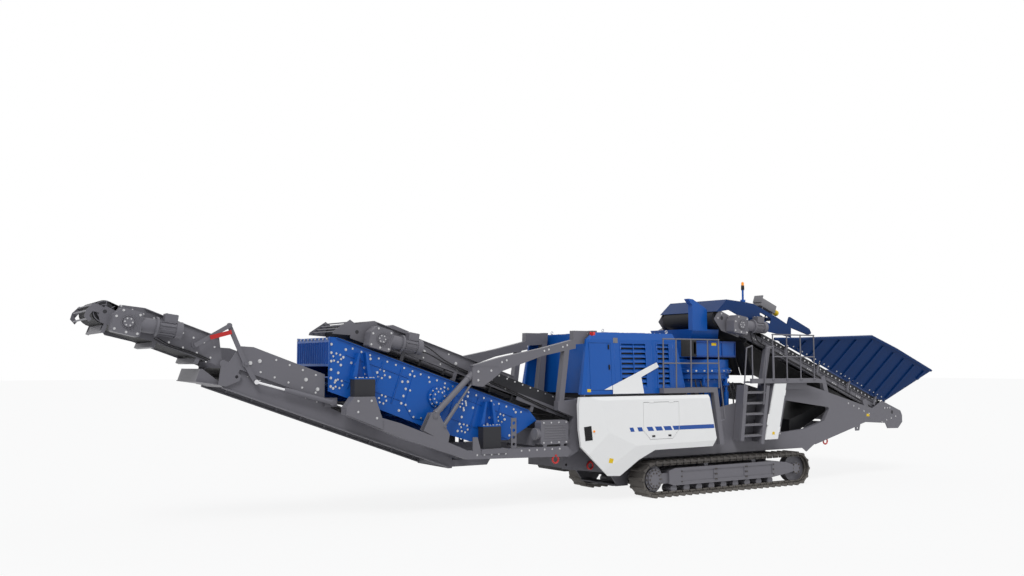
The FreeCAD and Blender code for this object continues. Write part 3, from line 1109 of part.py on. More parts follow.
def cylinder_rod():
    """Return the fold cylinder's rod with its eye at the lever."""
    u = unit(CYL_END, LEVER_LOW)
    y = CYL_Y
    start = (CYL_END[0] + u[0] * 200, CYL_END[1] + u[1] * 200)
    eye = cyl_y(LEVER_LOW[0], LEVER_LOW[1], 44, y - 18, LINK_Y0 + 20)
    rod = cyl((start[0], y, start[1]), (LEVER_LOW[0] - u[0] * 30, y, LEVER_LOW[1] - u[1] * 30), 25)
    return fuse([rod, eye])


def unit(p, q):
    """Return the direction from p to q in the side view."""
    n = math.hypot(q[0] - p[0], q[1] - p[1])
    return ((q[0] - p[0]) / n, (q[1] - p[1]) / n)


def gear_on(line, s, h, y_wall, length, tilt):
    """Return a gear motor outside the wall at y_wall on the near side."""
    x, z = line.at(s, h)
    return gear_motor(x, z, y_wall, length, tilt)


NODES = {
    "track_frame_near": track_frame, "track_frame_far": lambda: mirror(track_frame()),
    "track_near": track_loop, "track_far": lambda: mirror(track_loop()),
    "chassis": chassis,
    "cover_near": cover_near, "cover_far": lambda: mirror(cover()),
    "hatch": hatch,
    "hood": hood, "hood_door": hood_door, "engine": lambda: Part.makeCompound([engine(), radiator()]),
    "crusher": crusher_body, "feed_chute": feed_chute,
    "feeder_frame": feeder_frame, "feeder_skirts": feeder_skirt,
    "feeder_belt": lambda: belt_loop(FEED, *FEED_RUN, FEED_HALF - 130),
    "feeder_drum": lambda: drum(FEED, 0, 0, FEED_DRUM_R, FEED_HALF - 140, 50, FEED_HALF - 2),
    "feeder_tail_drum": lambda: drum(FEED, FEED_LENGTH, 0, 190, FEED_HALF - 140, 50, CHASSIS_HALF - 2),
    "feeder_drive": lambda: gear_on(FEED, 430, -20, -FEED_HALF, 420, 3),
    "hopper_near": hopper_wall, "hopper_far": lambda: mirror(hopper_wall()), "hopper_rear": hopper_rear,
    "head_cover": head_cover, "beacon": beacon,
    "platform_left": platform_left, "platform_right": platform_right, "ladder": ladder, "locker_door": locker_door,
    "discharge_frame": out_frame, "discharge_skirts": out_skirt,
    "discharge_belt": lambda: belt_loop(OUT, *OUT_RUN, OUT_HALF - 60),
    "discharge_drum": lambda: drum(OUT, OUT_HEAD_S, 45, OUT_DRUM_R, OUT_HALF - 70, 40, OUT_HALF - 2),
    "discharge_tail_drum": lambda: drum(OUT, OUT_TAIL_S, 0, 75, OUT_HALF - 70, 30, OUT_HALF),
    "discharge_drive": lambda: gear_on(OUT, OUT_HEAD_S - 460, 45, -OUT_HALF, 430, 10),
    "hanger_near": hanger, "hanger_far": lambda: mirror(hanger()),
    "subframe": lambda: fuse(both(subframe()) + subframe_ties()),
    "screen_box": screen_box,
    "vibrators": lambda: Part.makeCompound(both(vibrator())),
    "spring_boots": lambda: Part.makeCompound(both(spring_boots())),
    "cross_frame": cross_frame, "cross_belt": cross_belt,
    "return_conveyor": return_frame,
    "fines_frame": fines_trough, "fines_belt": fines_belt,
    "head_frame": head_frame, "head_belt": head_belt,
    "head_drum": lambda: drum(HEAD, FINES_DRUM_S, FINES_DRUM_H, FINES_DRUM_R, HEAD_HALF - 50, 35, HEAD_HALF + 58),
    "head_drive": lambda: gear_on(HEAD, 1853, 92, -HEAD_HALF, 430, 8),
    "fold_lever": lever, "fold_link": fold_link, "safety_strut": safety_strut,
    "fold_barrel": cylinder_barrel, "fold_rod": cylinder_rod,
}


def middle_x(pieces):
    """Return the X of the whole machine's middle."""
    whole = Part.makeCompound(list(pieces.values())).optimalBoundingBox(False)
    return (whole.XMin + whole.XMax) / 2


def main():
    """Make every piece, move the origin under the machine's middle and write the files."""
    os.makedirs("parts", exist_ok=True)
    pieces = {name: make() for name, make in NODES.items()}
    middle = middle_x(pieces)
    print("middle", middle)
    for name, shape in pieces.items():
        b = shape.BoundBox
        print(f"{name:20s} solids {len(shape.Solids)} faces {len(shape.Faces):4d} valid {shape.isValid()}"
              f" x {b.XMin:.0f}..{b.XMax:.0f} y {b.YMin:.0f}..{b.YMax:.0f} z {b.ZMin:.0f}..{b.ZMax:.0f}")
        shape.translate(V(-middle, 0, 0))
        shape.exportStep(f"parts/{name}.step")


if __name__ == "__main__":
    main()
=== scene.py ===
"""Looks of a tracked cone crusher with a screening unit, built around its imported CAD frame.

The frame gives every solid part its shape and place. This script gives each part its
finish and adds the small things a CAD solid leaves out: bolt rows, louvre frames,
stripes, hoses, track links, idlers, grips, lamps and labels without words.

All lengths are metres. Places are written from the middle of the tracks, as the machine's
own drawing has them: X towards the feed hopper, Y away from the ladder, Z up.
"""

from __future__ import annotations

import logging
import math
from dataclasses import dataclass
from enum import Enum
from typing import Iterable, Sequence

import bmesh
import bpy
from mathutils import Matrix, Vector

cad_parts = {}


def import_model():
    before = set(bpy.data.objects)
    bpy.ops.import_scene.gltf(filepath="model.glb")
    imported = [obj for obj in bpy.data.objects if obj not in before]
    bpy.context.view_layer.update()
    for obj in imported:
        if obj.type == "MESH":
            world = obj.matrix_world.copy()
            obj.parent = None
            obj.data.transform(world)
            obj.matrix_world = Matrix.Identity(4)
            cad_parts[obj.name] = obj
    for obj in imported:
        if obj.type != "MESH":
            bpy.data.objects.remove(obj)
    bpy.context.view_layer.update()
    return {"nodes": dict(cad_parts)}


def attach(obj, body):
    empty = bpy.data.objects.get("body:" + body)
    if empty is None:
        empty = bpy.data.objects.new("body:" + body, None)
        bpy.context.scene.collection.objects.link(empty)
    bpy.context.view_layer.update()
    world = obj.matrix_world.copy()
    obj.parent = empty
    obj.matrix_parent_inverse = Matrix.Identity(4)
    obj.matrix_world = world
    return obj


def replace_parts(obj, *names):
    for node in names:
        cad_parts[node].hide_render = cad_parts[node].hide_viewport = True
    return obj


LOG = logging.getLogger("crusher")

# How far the frame's origin lies from the middle of the tracks, along X
ORIGIN_SHIFT = 3.570993
PROUD = 0.002

Point = tuple[float, float, float]
Flat = tuple[float, float]


class Body(str, Enum):
    """The moving bodies of the frame that pieces ride on."""

    MACHINE = "machine"
    HEAD = "head"
    HEAD_DRUM = "head_drum"
    HOPPER_NEAR = "hopper_near"
    HOPPER_FAR = "hopper_far"
    HOOD_DOOR = "hood_door"
    HATCH = "hatch"
    LOCKER = "locker_door"
    FEEDER_DRUM = "feeder_drum"
    DISCHARGE_DRUM = "discharge_drum"
    LEVER = "fold_lever"
    LINK = "fold_link"
    BARREL = "fold_barrel"


class Slot(str, Enum):
    """The record's material slots."""

    GREY = "grey_paint"
    BLUE = "blue_paint"
    WHITE = "white_paint"
    TRACK = "track_steel"
    IRON = "engine_iron"
    BELT = "belt_rubber"
    RUBBER = "dark_rubber"
    DRUM = "drum_rubber"
    LENS = "beacon_lens"
    RED = "red_paint"
    CHROME = "rod_chrome"


def place(x: float, y: float, z: float) -> Vector:
    """Turn a place counted from the tracks' middle into the frame's own.

    Args:
        x: Along the machine, towards the hopper.
        y: Across the machine, away from the ladder.
        z: Height above the ground.

    Returns:
        The place in the frame.
    """
    return Vector((x + ORIGIN_SHIFT, y, z))


@dataclass(frozen=True)
class Slope:
    """A leaning line of the side view that conveyors and decks lie along."""

    x: float
    z: float
    angle: float
    leftwards: bool = False

    @property
    def along(self) -> Vector:
        """Return the direction of the line."""
        a = math.radians(self.angle)
        return Vector((-math.cos(a), 0, math.sin(a))) if self.leftwards else Vector((math.cos(a), 0, -math.sin(a)))

    @property
    def up(self) -> Vector:
        """Return the direction square to the line, upwards."""
        u = self.along
        return Vector((-u.z, 0, u.x)) if u.x > 0 else Vector((u.z, 0, -u.x))

    def at(self, s: float, h: float, y: float = 0.0) -> Vector:
        """Return the place s along the line, h above it and y across.

        Args:
            s: Distance along the line.
            h: Distance square to the line, upwards.
            y: Distance across the machine.

        Returns:
            The place in the frame.
        """
        return place(self.x, y, self.z) + self.along * s + self.up * h

    def turn(self) -> Matrix:
        """Return the rotation whose X runs along the line and Z square to it."""
        u, n = self.along, self.up
        return Matrix((u, n.cross(u), n)).transposed()


FEED = Slope(0.170, 4.230, 21.2)
DISCHARGE = Slope(-4.050, 1.850, 18.5, leftwards=True)
SCREEN = Slope(-10.180, 3.610, 18.7)
HEAD = Slope(-12.200, 3.080, 20.0, leftwards=True)
FINES = Slope(-7.620, 1.280, 20.0, leftwards=True)


# Shared shader groups


def new_group(name: str, inputs: dict[str, float], outputs: Sequence[str]) -> bpy.types.NodeTree:
    """Make an empty shader group with float inputs and float or colour outputs.

    Args:
        name: The group's name.
        inputs: Each input's name and its value at rest.
        outputs: Names of outputs; one that starts with "Colour" carries a colour.

    Returns:
        The group with its two end nodes.
    """
    tree = bpy.data.node_groups.new(name, "ShaderNodeTree")
    for key, value in inputs.items():
        kind = "NodeSocketColor" if isinstance(value, tuple) else "NodeSocketFloat"
        socket = tree.interface.new_socket(key, in_out="INPUT", socket_type=kind)
        socket.default_value = (*value, 1.0) if isinstance(value, tuple) else value
    for key in outputs:
        kind = "NodeSocketColor" if key.startswith("Colour") else (
            "NodeSocketVector" if key.startswith("Normal") else "NodeSocketFloat")
        tree.interface.new_socket(key, in_out="OUTPUT", socket_type=kind)
    tree.nodes.new("NodeGroupInput")
    tree.nodes.new("NodeGroupOutput")
    return tree


class Wires:
    """A thin helper that adds and joins the nodes of one shader tree."""

    def __init__(self, tree: bpy.types.NodeTree) -> None:
        """Keep the tree to add to."""
        self.tree = tree

    def node(self, kind: str, **values: object) -> bpy.types.Node:
        """Add a node and set its plain properties and its sockets.

        Args:
            kind: Blender's name of the node type.
            values: Properties by name, or sockets by name with blanks written as "_".

        Returns:
            The node.
        """
        made = self.tree.nodes.new(kind)
        for key, value in values.items():
            if hasattr(made, key):
                setattr(made, key, value)
            else:
                made.inputs[key.replace("_", " ")].default_value = value
        return made

    def join(self, source: bpy.types.NodeSocket, target: bpy.types.NodeSocket) -> None:
        """Run a wire from one socket to another."""
        self.tree.links.new(source, target)

    def maths(self, operation: str, a: object, b: object = 0.0) -> bpy.types.NodeSocket:
        """Add a Math node fed with sockets or numbers.

        Args:
            operation: The node's operation.
            a: First socket or number.
            b: Second socket or number.

        Returns:
            The node's output.
        """
        made = self.node("ShaderNodeMath", operation=operation)
        for index, value in enumerate((a, b)):
            if isinstance(value, bpy.types.NodeSocket):
                self.join(value, made.inputs[index])
            else:
                made.inputs[index].default_value = value
        return made.outputs[0]


def mottled_group() -> bpy.types.NodeTree:
    """Make the group that gives a finish its cloudy tone, fine grain and bump.

    Returns:
        A group with a colour, a roughness and a normal output.
    """
    found = bpy.data.node_groups.get("mottled_finish")
    if found:
        return found
    tree = new_group("mottled_finish", {"Base": (0.5, 0.5, 0.5), "Dust": (0.4, 0.37, 0.33), "Cloud Size": 1.4,
                                        "Cloud": 0.05, "Grain Size": 90.0, "Grain": 0.02, "Dust Amount": 0.1,
                                        "Dust Height": 1.0, "Roughness": 0.4, "Bump": 0.1},
                     ["Colour", "Roughness", "Normal"])
    w = Wires(tree)
    inp, out = tree.nodes["Group Input"], tree.nodes["Group Output"]
    coords = w.node("ShaderNodeTexCoord").outputs["Object"]
    cloud = w.node("ShaderNodeTexNoise", Detail=5.0, Roughness=0.6)
    grain = w.node("ShaderNodeTexNoise", Detail=3.0, Roughness=0.55)
    for noise, size in ((cloud, "Cloud Size"), (grain, "Grain Size")):
        w.join(coords, noise.inputs["Vector"])
        w.join(inp.outputs[size], noise.inputs["Scale"])
    cloudy = w.maths("MULTIPLY", w.maths("SUBTRACT", cloud.outputs["Fac"], 0.5), inp.outputs["Cloud"])
    grainy = w.maths("MULTIPLY", w.maths("SUBTRACT", grain.outputs["Fac"], 0.5), inp.outputs["Grain"])
    tone = w.maths("ADD", w.maths("ADD", cloudy, grainy), 1.0)
    shade = w.node("ShaderNodeMix", data_type="RGBA", blend_type="MULTIPLY")
    shade.inputs[0].default_value = 1.0
    grey = w.node("ShaderNodeCombineColor")
    for socket in grey.inputs[:3]:
        w.join(tone, socket)
    w.join(inp.outputs["Base"], shade.inputs[6])
    w.join(grey.outputs[0], shade.inputs[7])
    # Dust lies low on the machine and on what faces up
    place_z = w.node("ShaderNodeSeparateXYZ")
    w.join(coords, place_z.inputs[0])
    low = w.maths("SUBTRACT", 1.0, w.maths("DIVIDE", place_z.outputs["Z"], inp.outputs["Dust Height"]))
    low = w.maths("MAXIMUM", low, 0.0)
    facing = w.node("ShaderNodeSeparateXYZ")
    w.join(w.node("ShaderNodeNewGeometry").outputs["Normal"], facing.inputs[0])
    flat_top = w.maths("MULTIPLY", w.maths("MAXIMUM", facing.outputs["Z"], 0.0), 0.5)
    dusty = w.maths("MULTIPLY", w.maths("ADD", low, flat_top), w.maths("MULTIPLY", cloud.outputs["Fac"],
                                                                       inp.outputs["Dust Amount"]))
    mix = w.node("ShaderNodeMix", data_type="RGBA", clamp_factor=True)
    w.join(dusty, mix.inputs[0])
    w.join(shade.outputs[2], mix.inputs[6])
    w.join(inp.outputs["Dust"], mix.inputs[7])
    w.join(mix.outputs[2], out.inputs["Colour"])
    rough = w.maths("ADD", inp.outputs["Roughness"], w.maths("ADD", w.maths("MULTIPLY", cloudy, 1.2),
                                                            w.maths("MULTIPLY", dusty, 0.5)))
    w.join(rough, out.inputs["Roughness"])
    bump = w.node("ShaderNodeBump", Distance=0.004)
    w.join(grain.outputs["Fac"], bump.inputs["Height"])
    w.join(inp.outputs["Bump"], bump.inputs["Strength"])
    w.join(bump.outputs["Normal"], out.inputs["Normal"])
    return tree


@dataclass(frozen=True)
class Finish:
    """One surface finish of the machine, as a procedural material."""

    name: str
    colour: tuple[float, float, float]
    roughness: float = 0.4
    metallic: float = 0.0
    coat: float = 0.0
    cloud: float = 0.06
    cloud_size: float = 1.3
    grain: float = 0.03
    grain_size: float = 120.0
    bump: float = 0.06
    dust: float = 0.05
    dust_height: float = 1.2
    alpha: float = 1.0
    glow: float = 0.0
    shine: float = 0.25

    def material(self) -> bpy.types.Material:
        """Return the material, made at its first use."""
        title = f"finish_{self.name}"
        found = bpy.data.materials.get(title)
        if found:
            return found
        made = bpy.data.materials.new(title)
        made.use_nodes = True
        made.diffuse_color = (*self.colour, 1.0)
        w = Wires(made.node_tree)
        shader = made.node_tree.nodes["Principled BSDF"]
        shader.inputs["Metallic"].default_value = self.metallic
        shader.inputs["Coat Weight"].default_value = self.coat
        shader.inputs["Coat Roughness"].default_value = 0.12
        shader.inputs["Specular IOR Level"].default_value = self.shine
        shader.inputs["Alpha"].default_value = self.alpha
        if self.glow:
            shader.inputs["Emission Color"].default_value = (*self.colour, 1.0)
            shader.inputs["Emission Strength"].default_value = self.glow
        group = w.node("ShaderNodeGroup")
        group.node_tree = mottled_group()
        values = {"Cloud Size": self.cloud_size, "Cloud": self.cloud, "Grain Size": self.grain_size,
                  "Grain": self.grain, "Dust Amount": self.dust, "Dust Height": self.dust_height,
                  "Roughness": self.roughness, "Bump": self.bump}
        for key, value in values.items():
            group.inputs[key].default_value = value
        group.inputs["Base"].default_value = (*self.colour, 1.0)
        w.join(group.outputs["Colour"], shader.inputs["Base Color"])
        w.join(group.outputs["Roughness"], shader.inputs["Roughness"])
        w.join(group.outputs["Normal"], shader.inputs["Normal"])
        return made


GREY = Finish("grey_paint", (0.162, 0.158, 0.178), roughness=0.46, coat=0.04)
LIGHT_GREY = Finish("light_grey_paint", (0.20, 0.196, 0.21), roughness=0.45, coat=0.04)
BLUE = Finish("blue_paint", (0.006, 0.092, 0.40), roughness=0.34, coat=0.06, cloud=0.1)
DEEP_BLUE = Finish("deep_blue_paint", (0.010, 0.055, 0.26), roughness=0.38, coat=0.06, cloud=0.1)
# Blue paint darkened for the hopper walls and the head cover: painted shade, standing in for the shade that falls on
# them
BLUE_PAINTED_SHADE = Finish("blue_painted_shade", (0.003, 0.032, 0.135), roughness=0.40, coat=0.02, cloud=0.2, cloud_size=2.2, shine=0.15)
WHITE = Finish("white_paint", (0.87, 0.87, 0.865), roughness=0.34, coat=0.3, cloud=0.02, dust=0.02)
TRACK_STEEL = Finish("track_steel", (0.085, 0.078, 0.074), roughness=0.55, metallic=0.55, cloud=0.5, cloud_size=6.0,
                     grain=0.3, grain_size=60.0, bump=0.35, dust=0.35, dust_height=0.9)
IRON = Finish("dark_iron", (0.030, 0.030, 0.034), roughness=0.5, metallic=0.2, grain=0.1, bump=0.2)
RUBBER = Finish("black_rubber", (0.024, 0.024, 0.027), roughness=0.68, cloud=0.3, grain=0.15, grain_size=200.0,
                bump=0.25, dust=0.12, dust_height=4.0)
SKIRT = Finish("skirt_rubber", (0.036, 0.036, 0.041), roughness=0.62, cloud=0.25, grain=0.12, bump=0.2)
LAGGING = Finish("drum_lagging", (0.045, 0.045, 0.05), roughness=0.6, cloud=0.2, grain=0.2, bump=0.3)
CHROME = Finish("rod_chrome", (0.72, 0.72, 0.74), roughness=0.12, metallic=1.0, cloud=0.02, grain=0.01, bump=0.01)
ZINC = Finish("zinc_bolts", (0.56, 0.56, 0.57), roughness=0.34, metallic=0.9, cloud=0.15, cloud_size=9.0, bump=0.05)
RED = Finish("red_paint", (0.52, 0.018, 0.016), roughness=0.35, coat=0.3)
AMBER = Finish("amber_lens", (0.95, 0.30, 0.01), roughness=0.15, coat=0.6, cloud=0.02, grain=0.01, bump=0.02,
               glow=0.15)
RED_LENS = Finish("red_lens", (0.62, 0.012, 0.012), roughness=0.15, coat=0.6, cloud=0.02, grain=0.01, glow=0.1)
YELLOW = Finish("yellow_label", (0.82, 0.56, 0.02), roughness=0.4, cloud=0.02, bump=0.02)
BLACK = Finish("black_plastic", (0.014, 0.014, 0.016), roughness=0.42, cloud=0.1, grain=0.1, bump=0.12)
STRIPE = Finish("stripe_blue", (0.012, 0.075, 0.34), roughness=0.36, coat=0.25, cloud=0.03, bump=0.02)
GRIP = Finish("grip_grating", (0.17, 0.168, 0.18), roughness=0.5, metallic=0.5, grain=0.2, bump=0.3)

NODE_FINISH: dict[Finish, str] = {
    GREY: "track_frame_near track_frame_far chassis feeder_frame feeder_drive platform_left platform_right"
          " ladder discharge_frame discharge_drive hanger_near hanger_far subframe cross_frame return_conveyor"
          " fines_frame head_frame head_drive fold_lever fold_link fold_barrel",
    BLUE: "crusher hood hood_door feed_chute screen_box vibrators",
    # The hopper walls and the head cover get the darkened blue, which is painted shade
    BLUE_PAINTED_SHADE: "hopper_near hopper_far hopper_rear head_cover",
    WHITE: "cover_near cover_far hatch locker_door",
    TRACK_STEEL: "track_near track_far",
    IRON: "engine",
    RUBBER: "feeder_belt discharge_belt cross_belt fines_belt head_belt",
    SKIRT: "feeder_skirts discharge_skirts spring_boots",
    LAGGING: "feeder_drum feeder_tail_drum discharge_drum discharge_tail_drum head_drum",
    RED: "safety_strut",
    CHROME: "fold_rod",
}


# Mesh building


class Shape:
    """Meshes of one piece, gathered in one bmesh and turned into one object at the end."""

    def __init__(self, name: str) -> None:
        """Start an empty piece.

        Args:
            name: The object's name.
        """
        self.name = name
        self.bm = bmesh.new()

    def _move(self, verts: Iterable[bmesh.types.BMVert], turn: Matrix, centre: Vector) -> None:
        """Turn new vertices about the origin and carry them to their place."""
        bmesh.ops.transform(self.bm, matrix=Matrix.Translation(centre) @ turn.to_4x4(), verts=list(verts))

    def block(self, centre: Vector, size: Sequence[float], turn: Matrix | None = None, bevel: float = 0.0) -> None:
        """Add a block with its edges eased.

        Args:
            centre: The block's middle.
            size: Its lengths along its own axes.
            turn: Its rotation, none if left out.
            bevel: How far the edges are eased.
        """
        made = bmesh.ops.create_cube(self.bm, size=1.0)["verts"]
        bmesh.ops.scale(self.bm, vec=Vector(size), verts=made)
        if bevel:
            edges = {e for v in made for e in v.link_edges}
            made = bmesh.ops.bevel(self.bm, geom=list(edges), offset=bevel, offset_type="OFFSET", segments=2,
                                   profile=0.5, affect="EDGES", material=-1)["verts"]
            made = self._island(made[0])
        self._move(made, turn or Matrix.Identity(3), centre)

    def _island(self, start: bmesh.types.BMVert) -> list[bmesh.types.BMVert]:
        """Return every vertex joined to the given one."""
        seen, todo = {start}, [start]
        while todo:
            for edge in todo.pop().link_edges:
                for v in edge.verts:
                    if v not in seen:
                        seen.add(v)
                        todo.append(v)
        return list(seen)

    def rod(self, start: Vector, end: Vector, radius: float, sides: int = 16, tip: float | None = None,
            ease: float = 0.0) -> None:
        """Add a round bar or cone between two places.

        Args:
            start: One end.
            end: The other end.
            radius: The bar's radius.
            sides: Number of its sides.
            tip: The radius at the far end, the same if left out.
            ease: How far the rims of the ends are eased.
        """
        run = end - start
        made = bmesh.ops.create_cone(self.bm, cap_ends=True, segments=sides, radius1=radius,
                                     radius2=radius if tip is None else tip, depth=run.length)["verts"]
        if ease:
            rims = {e for v in made for e in v.link_edges if abs(e.verts[0].co.z - e.verts[1].co.z) < 1e-6}
            made = bmesh.ops.bevel(self.bm, geom=list(rims), offset=ease, offset_type="OFFSET", segments=2,
                                   profile=0.5, affect="EDGES", material=-1)["verts"]
            made = self._island(made[0])
        turn = run.to_track_quat("Z", "Y").to_matrix()
        self._move(made, turn, (start + end) / 2)

    def ball(self, centre: Vector, radius: float, squash: float = 1.0) -> None:
        """Add a ball, flattened along Z by squash."""
        made = bmesh.ops.create_uvsphere(self.bm, u_segments=20, v_segments=12, radius=radius)["verts"]
        bmesh.ops.scale(self.bm, vec=Vector((1, 1, squash)), verts=made)
        self._move(made, Matrix.Identity(3), centre)

    def sheet(self, corners: Sequence[Vector], thickness: Vector, bevel: float = 0.0) -> None:
        """Add a flat plate from its outline, pulled by the thickness.

        Args:
            corners: The outline, in order.
            thickness: The way and the length of the pull.
            bevel: How far all edges are eased.
        """
        verts = [self.bm.verts.new(c) for c in corners]
        face = self.bm.faces.new(verts)
        pulled = bmesh.ops.extrude_face_region(self.bm, geom=[face])["geom"]
        moved = [g for g in pulled if isinstance(g, bmesh.types.BMVert)]
        bmesh.ops.translate(self.bm, vec=thickness, verts=moved)
        island = self._island(verts[0])
        if bevel:
            edges = {e for v in island for e in v.link_edges}
            bmesh.ops.bevel(self.bm, geom=list(edges), offset=bevel, offset_type="OFFSET", segments=1,
                            profile=0.5, affect="EDGES", material=-1)

    def ring(self, centre: Vector, axis: Vector, radius: float, wire: float, sides: int = 24,
             sweep: float = 360.0, start: Vector | None = None) -> None:
        """Add a round wire bent about an axis.

        Args:
            centre: The ring's middle.
            axis: The line that it turns about.
            radius: From the middle to the wire's own middle.
            wire: The wire's radius.
            sides: Steps round the ring.
            sweep: Degrees that the ring spans.
            start: The way from the middle to where the ring starts.
        """
        axis = axis.normalized()
        out = (start or axis.orthogonal()).normalized()
        made = bmesh.ops.create_circle(self.bm, cap_ends=False, segments=10, radius=wire)["verts"]
        turn = Matrix((out, axis, out.cross(axis))).transposed()
        self._move(made, turn, centre + out * radius)
        edges = list({e for v in made for e in v.link_edges})
        whole = abs(sweep - 360.0) < 1e-6
        bmesh.ops.spin(self.bm, geom=made + edges, cent=centre, axis=axis, angle=math.radians(sweep), steps=sides,
                       use_merge=whole)

    def bolt(self, centre: Vector, axis: Vector, radius: float = 0.016, height: float = 0.014) -> None:
        """Add a six-sided bolt head on its washer.

        Args:
            centre: Where the head meets the plate.
            axis: The way that the head stands out.
            radius: Across the corners, halved.
            height: How far the head stands out.
        """
        out = axis.normalized()
        self.rod(centre - out * 0.004, centre + out * height * 0.25, radius * 1.35, 10)
        self.rod(centre, centre + out * height, radius, 6)

    def bolts(self, start: Vector, end: Vector, count: int, axis: Vector, radius: float = 0.016,
              height: float = 0.014) -> None:
        """Add a row of bolt heads from one place to another.

        Args:
            start: The first bolt.
            end: The last bolt.
            count: How many there are.
            axis: The way that the heads stand out.
            radius: Of each head.
            height: Of each head.
        """
        for i in range(count):
            self.bolt(start.lerp(end, i / max(count - 1, 1)), axis, radius, height)

    def finish(self, finish: Finish, body: Body, slot: Slot, smooth: float = 35.0) -> bpy.types.Object:
        """Make the object, dress it and let it ride on its body.

        Args:
            finish: Its surface.
            body: The CAD body that it moves with.
            slot: The record's material slot that it belongs to; it is not used.
            smooth: Faces that meet at less than this many degrees are shaded as one.

        Returns:
            The object.
        """
        bmesh.ops.remove_doubles(self.bm, verts=self.bm.verts, dist=1e-5)
        open_rims = [e for e in self.bm.edges if e.is_boundary]
        if open_rims:
            bmesh.ops.holes_fill(self.bm, edges=open_rims)
        bmesh.ops.recalc_face_normals(self.bm, faces=self.bm.faces)
        limit = math.radians(smooth)
        for face in self.bm.faces:
            face.smooth = True
        for edge in self.bm.edges:
            edge.smooth = len(edge.link_faces) == 2 and edge.calc_face_angle(math.pi) < limit
        mesh = bpy.data.meshes.new(self.name)
        self.bm.to_mesh(mesh)
        self.bm.free()
        return dress(bpy.data.objects.new(self.name, mesh), finish, body)


def dress(made: bpy.types.Object, finish: Finish, body: Body) -> bpy.types.Object:
    """Link a new object, give it its finish and let it ride on its body.

    Args:
        made: The object.
        finish: Its surface.
        body: The CAD body that it moves with.

    Returns:
        The same object.
    """
    bpy.context.scene.collection.objects.link(made)
    made.data.materials.clear()
    made.data.materials.append(finish.material())
    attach(made, body.value)
    LOG.info("made %s", made.name)
    return made


def hose(name: str, runs: Sequence[Sequence[Vector]], radius: float, finish: Finish, body: Body) -> None:
    """Make a bundle of fitted lines, each a smooth spline through its guide points.

    Args:
        name: The object's name.
        runs: The guide points of each line.
        radius: The lines' radius.
        finish: Their surface.
        body: The CAD body that they are fixed to.
    """
    curve = bpy.data.curves.new(name, "CURVE")
    curve.dimensions = "3D"
    curve.bevel_depth = radius
    curve.bevel_resolution = 3
    curve.resolution_u = 8
    curve.use_fill_caps = True
    for points in runs:
        spline = curve.splines.new("NURBS")
        spline.points.add(len(points) - 1)
        for point, target in zip(spline.points, points):
            point.co = (*target, 1.0)
        spline.order_u = 3
        spline.use_endpoint_u = True
    dress(bpy.data.objects.new(name, curve), finish, body)


NEAR, FAR = -1, 1
OUT_NEAR, OUT_FAR = Vector((0, -1, 0)), Vector((0, 1, 0))
UP = Vector((0, 0, 1))


def outwards(side: int) -> Vector:
    """Return the way out of the machine on one side."""
    return OUT_NEAR if side == NEAR else OUT_FAR


def side_name(side: int) -> str:
    """Return the word for one side."""
    return "near" if side == NEAR else "far"


# Tracks


